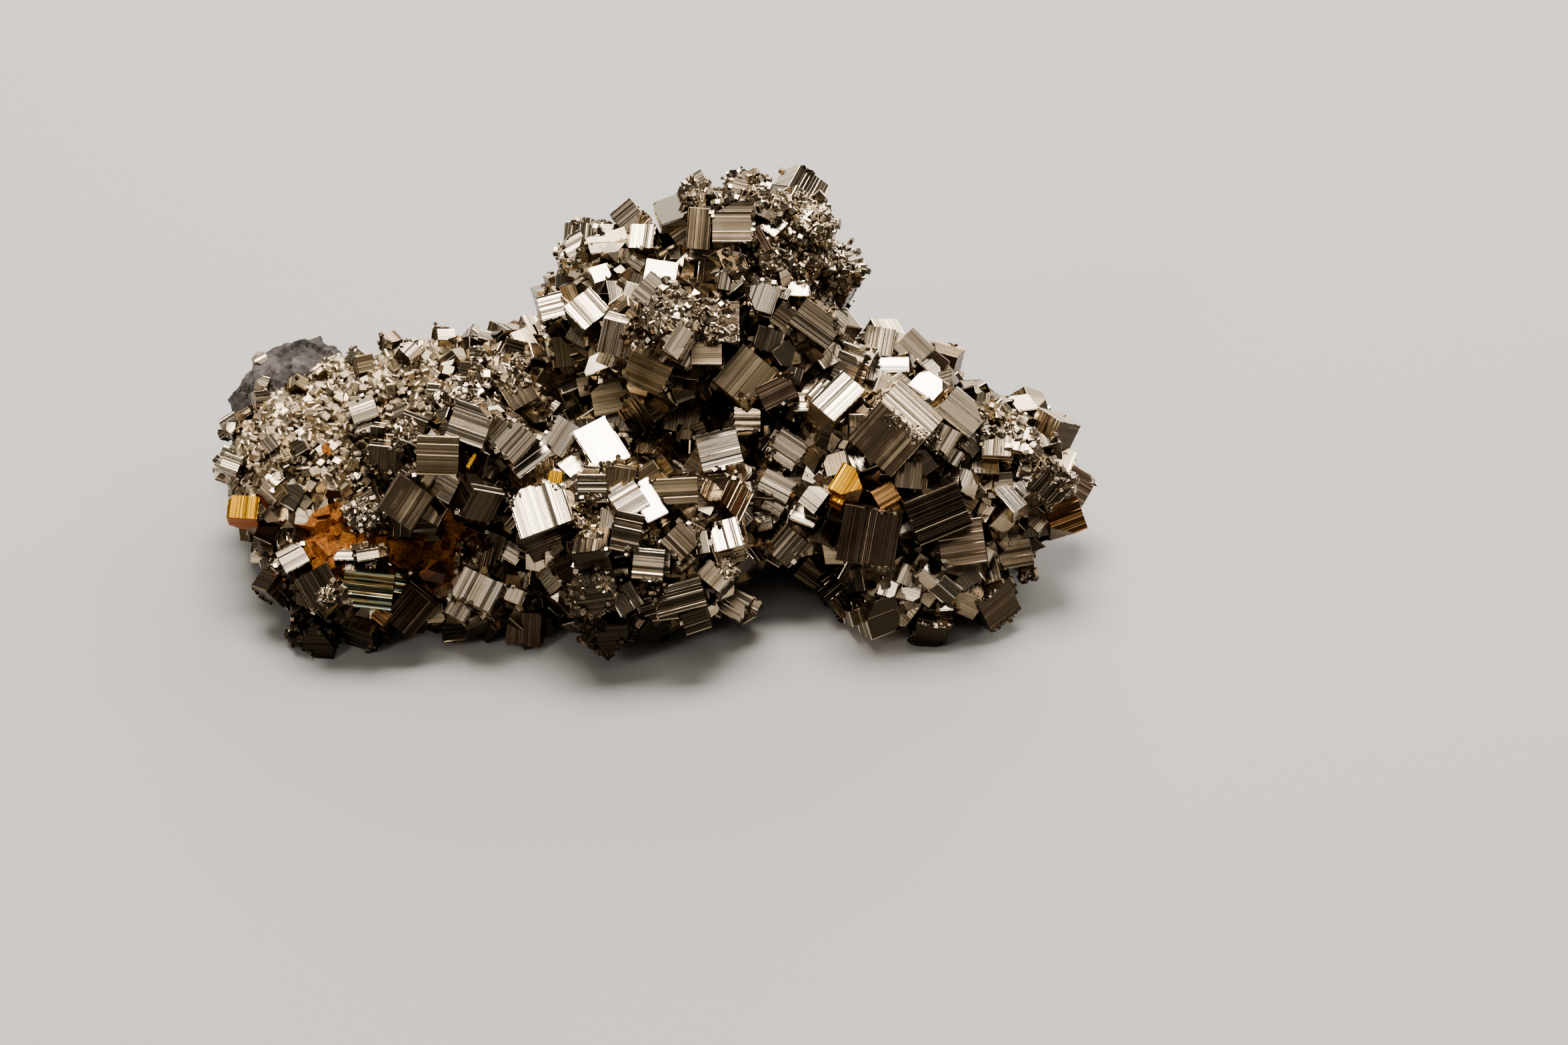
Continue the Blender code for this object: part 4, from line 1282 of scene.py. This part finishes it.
crustPiece = growCrust("pyrite_crust")
crustPoints = [vertex.co.copy() for vertex in crustPiece.data.vertices]
rustedPlaces = [(crustPoint(sightLine(pixel)), radius) for pixel, radius in limonite["spots"]]
addAttribute(crustPiece.data, "grain", [grainAt(point) for point in crustPoints])
addAttribute(crustPiece.data, "zone", [zoneOf(point, rustedPlaces) for point in crustPoints])
crustPiece.data.materials.append(materials["crust"])
print("crust ready")

kinds = {kind: smallKinds(kind, count, random.Random(seed)) for kind, (count, seed) in small["kinds"].items()}
overCrust = scatterTree()
layers = {
    "pyrite_medium": {"Crystals": kinds["lined"], "Gap": 2.15 * mm, "Smallest": 1.8 * mm, "Largest": 3.0 * mm,
                      "Fine Share": 0.6, "Tilt": 0.7, "Lowest": 1.6 * mm, "From Zone": 0.35,
                      "To Zone": 1.0, "Seed": 21, "Material": materials["striated"]},
    "pyrite_small": {"Crystals": kinds["worn"], "Gap": 0.66 * mm, "Smallest": 0.6 * mm, "Largest": 1.25 * mm,
                     "Fine Share": 1.0, "Tilt": 0.8, "Lowest": 1.2 * mm, "From Zone": 0.0,
                     "To Zone": 0.35, "Seed": 22, "Material": materials["fine"]},
    "pyrite_fine": {"Crystals": kinds["plain"], "Gap": 0.7 * mm, "Smallest": 0.4 * mm, "Largest": 0.9 * mm,
                    "Fine Share": 0.9, "Tilt": 0.6, "Lowest": 0.8 * mm, "From Zone": 0.0,
                    "To Zone": 0.45, "Seed": 23, "Material": materials["fine"]},
    "pyrite_crumbs": {"Crystals": kinds["plain"], "Gap": 1.25 * mm, "Smallest": 0.8 * mm, "Largest": 1.7 * mm,
                      "Fine Share": 0.7, "Tilt": 0.7, "Lowest": 0.8 * mm, "From Zone": 0.35,
                      "To Zone": 1.0, "Seed": 24, "Material": materials["fine"]},
    "pyrite_rusted": {"Crystals": kinds["plain"], "Gap": 1.3 * mm, "Smallest": 0.9 * mm, "Largest": 2.2 * mm,
                      "Fine Share": 1.0, "Tilt": 0.7, "Lowest": 0.8 * mm, "From Zone": 1.5,
                      "To Zone": 2.5, "Seed": 25, "Material": materials["fine"]},
}
layerPieces = []
for name, values in layers.items():
    layer = linkObject(name, crustPiece.data.copy())
    addModifier(layer, overCrust, values)
    bake(layer)
    keepAbove(layer.data)
    layerPieces.append(layer)
dropPockets(crustPiece.data)
rockPiece = growHostRock("host_rock_broken")
rockPiece.data.materials.append(materials["hostRock"])
print("crust covered")

surfaces = surfaceTree(blockPieces + layerPieces + [crustPiece, rockPiece])
patches = patchSpots(surfaces, random.Random(seeds["patches"]))
smallOnes = [placeSmall(crystal, surfaces) for crystal in smallCrystals]
piece, _ = growPiece("pyrite_small_blocks", smallOnes, random.Random(seeds["smallBlocks"]))
blockPieces.append(piece)
print("fine crystals wanted:", len(edgeSpots) + len(patches))

fineTree = drusyTree()
finePieces = {"pyrite_drusy_edges": (edgeSpots, "plain"), "pyrite_drusy": (patches, "worn")}
for number, (name, (spots, kind)) in enumerate(finePieces.items()):
    spotMesh = bpy.data.meshes.new(name)
    spotMesh.from_pydata([tuple(point) for point, _, _ in spots], [], [])
    addAttribute(spotMesh, "turn", [value for _, turn, _ in spots for value in turn], "FLOAT_VECTOR")
    addAttribute(spotMesh, "size", [size for _, _, size in spots])
    layer = linkObject(name, spotMesh)
    addModifier(layer, fineTree, {
        "Crystals": kinds[kind], "Seed": seeds["fine"] + number, "Material": materials["rough"]})
    bake(layer)
    keepAbove(layer.data)
    layerPieces.append(layer)
for collection in kinds.values():
    dropKinds(collection)

for piece in blockPieces + layerPieces + [crustPiece]:
    addPiece(piece, "pyrite_cluster")
addPiece(rockPiece, "host_rock")


# Floor, lights and camera

studio = {
    "floor": "#cbccce",
    "floorRoughness": 0.75,
    "floorSize": 4,            # metres
    "walls": "#8c8377",
    "wallStrength": 0.17,
    "lamps": "#fff3e6",
    "aimedAt": 14 * mm,        # how high the lamps point
    "sensor": 36,              # millimetres, as the lens is too
    "nearest": 0.01,           # metres
}


def makeFloor():
    bpy.ops.mesh.primitive_plane_add(size=studio["floorSize"])
    floor = bpy.context.object
    floor.name = "floor"
    # painted board without a gloss, so that it takes the shadow and mirrors nothing
    made, tree, shader = newMaterial("floor, pale matte board")
    fillInputs(tree, shader, {"Base Color": srgb(studio["floor"]), "Roughness": studio["floorRoughness"]})
    floor.data.materials.append(made)


softboxes = {
    # name: (degrees round from the front to the right, height in degrees, distance, size, watts)
    "key": (190, 76, 0.6, (0.40, 0.28), 6.5),
    "back": (162, 27, 0.8, (0.85, 0.30), 6.0),
    "fill": (-50, 30, 0.9, (0.14, 0.30), 1.3),
    "front": (4, 68, 0.9, (0.62, 0.40), 0.55),
    "side": (105, 36, 0.9, (0.30, 0.40), 2.2),
}


def addSoftbox(name, around, height, distance, size, watts):
    light = bpy.data.lights.new(name, "AREA")
    light.color = srgb(studio["lamps"])[:3]
    light.shape = "RECTANGLE"
    light.size, light.size_y = size
    light.energy = watts
    turn, rise = math.radians(around), math.radians(height)
    way = Vector((math.sin(turn) * math.cos(rise), -math.cos(turn) * math.cos(rise), math.sin(rise)))
    lamp = linkObject(name, light)
    lamp.location = Vector((0, 0, studio["aimedAt"])) + way * distance
    lamp.rotation_euler = way.to_track_quat("Z", "Y").to_euler()


def setWorld():
    world = bpy.data.worlds.new("studio")
    world.use_nodes = True
    fillInputs(world.node_tree, world.node_tree.nodes["Background"], {
        "Color": srgb(studio["walls"]), "Strength": studio["wallStrength"]})
    bpy.context.scene.world = world


def addCamera():
    data = bpy.data.cameras.new("camera")
    data.sensor_width = studio["sensor"]
    data.lens = data.sensor_width * pixelsPerMetre * viewDistance / pictureWidth
    data.clip_start = studio["nearest"]
    camera = linkObject("camera", data)
    camera.location = eye - footprintMiddle
    camera.rotation_euler = (math.pi / 2 - viewElevation, 0, 0)
    bpy.context.scene.camera = camera


makeFloor()
for name, values in softboxes.items():
    addSoftbox(name, *values)
setWorld()
addCamera()
print("stage ready")
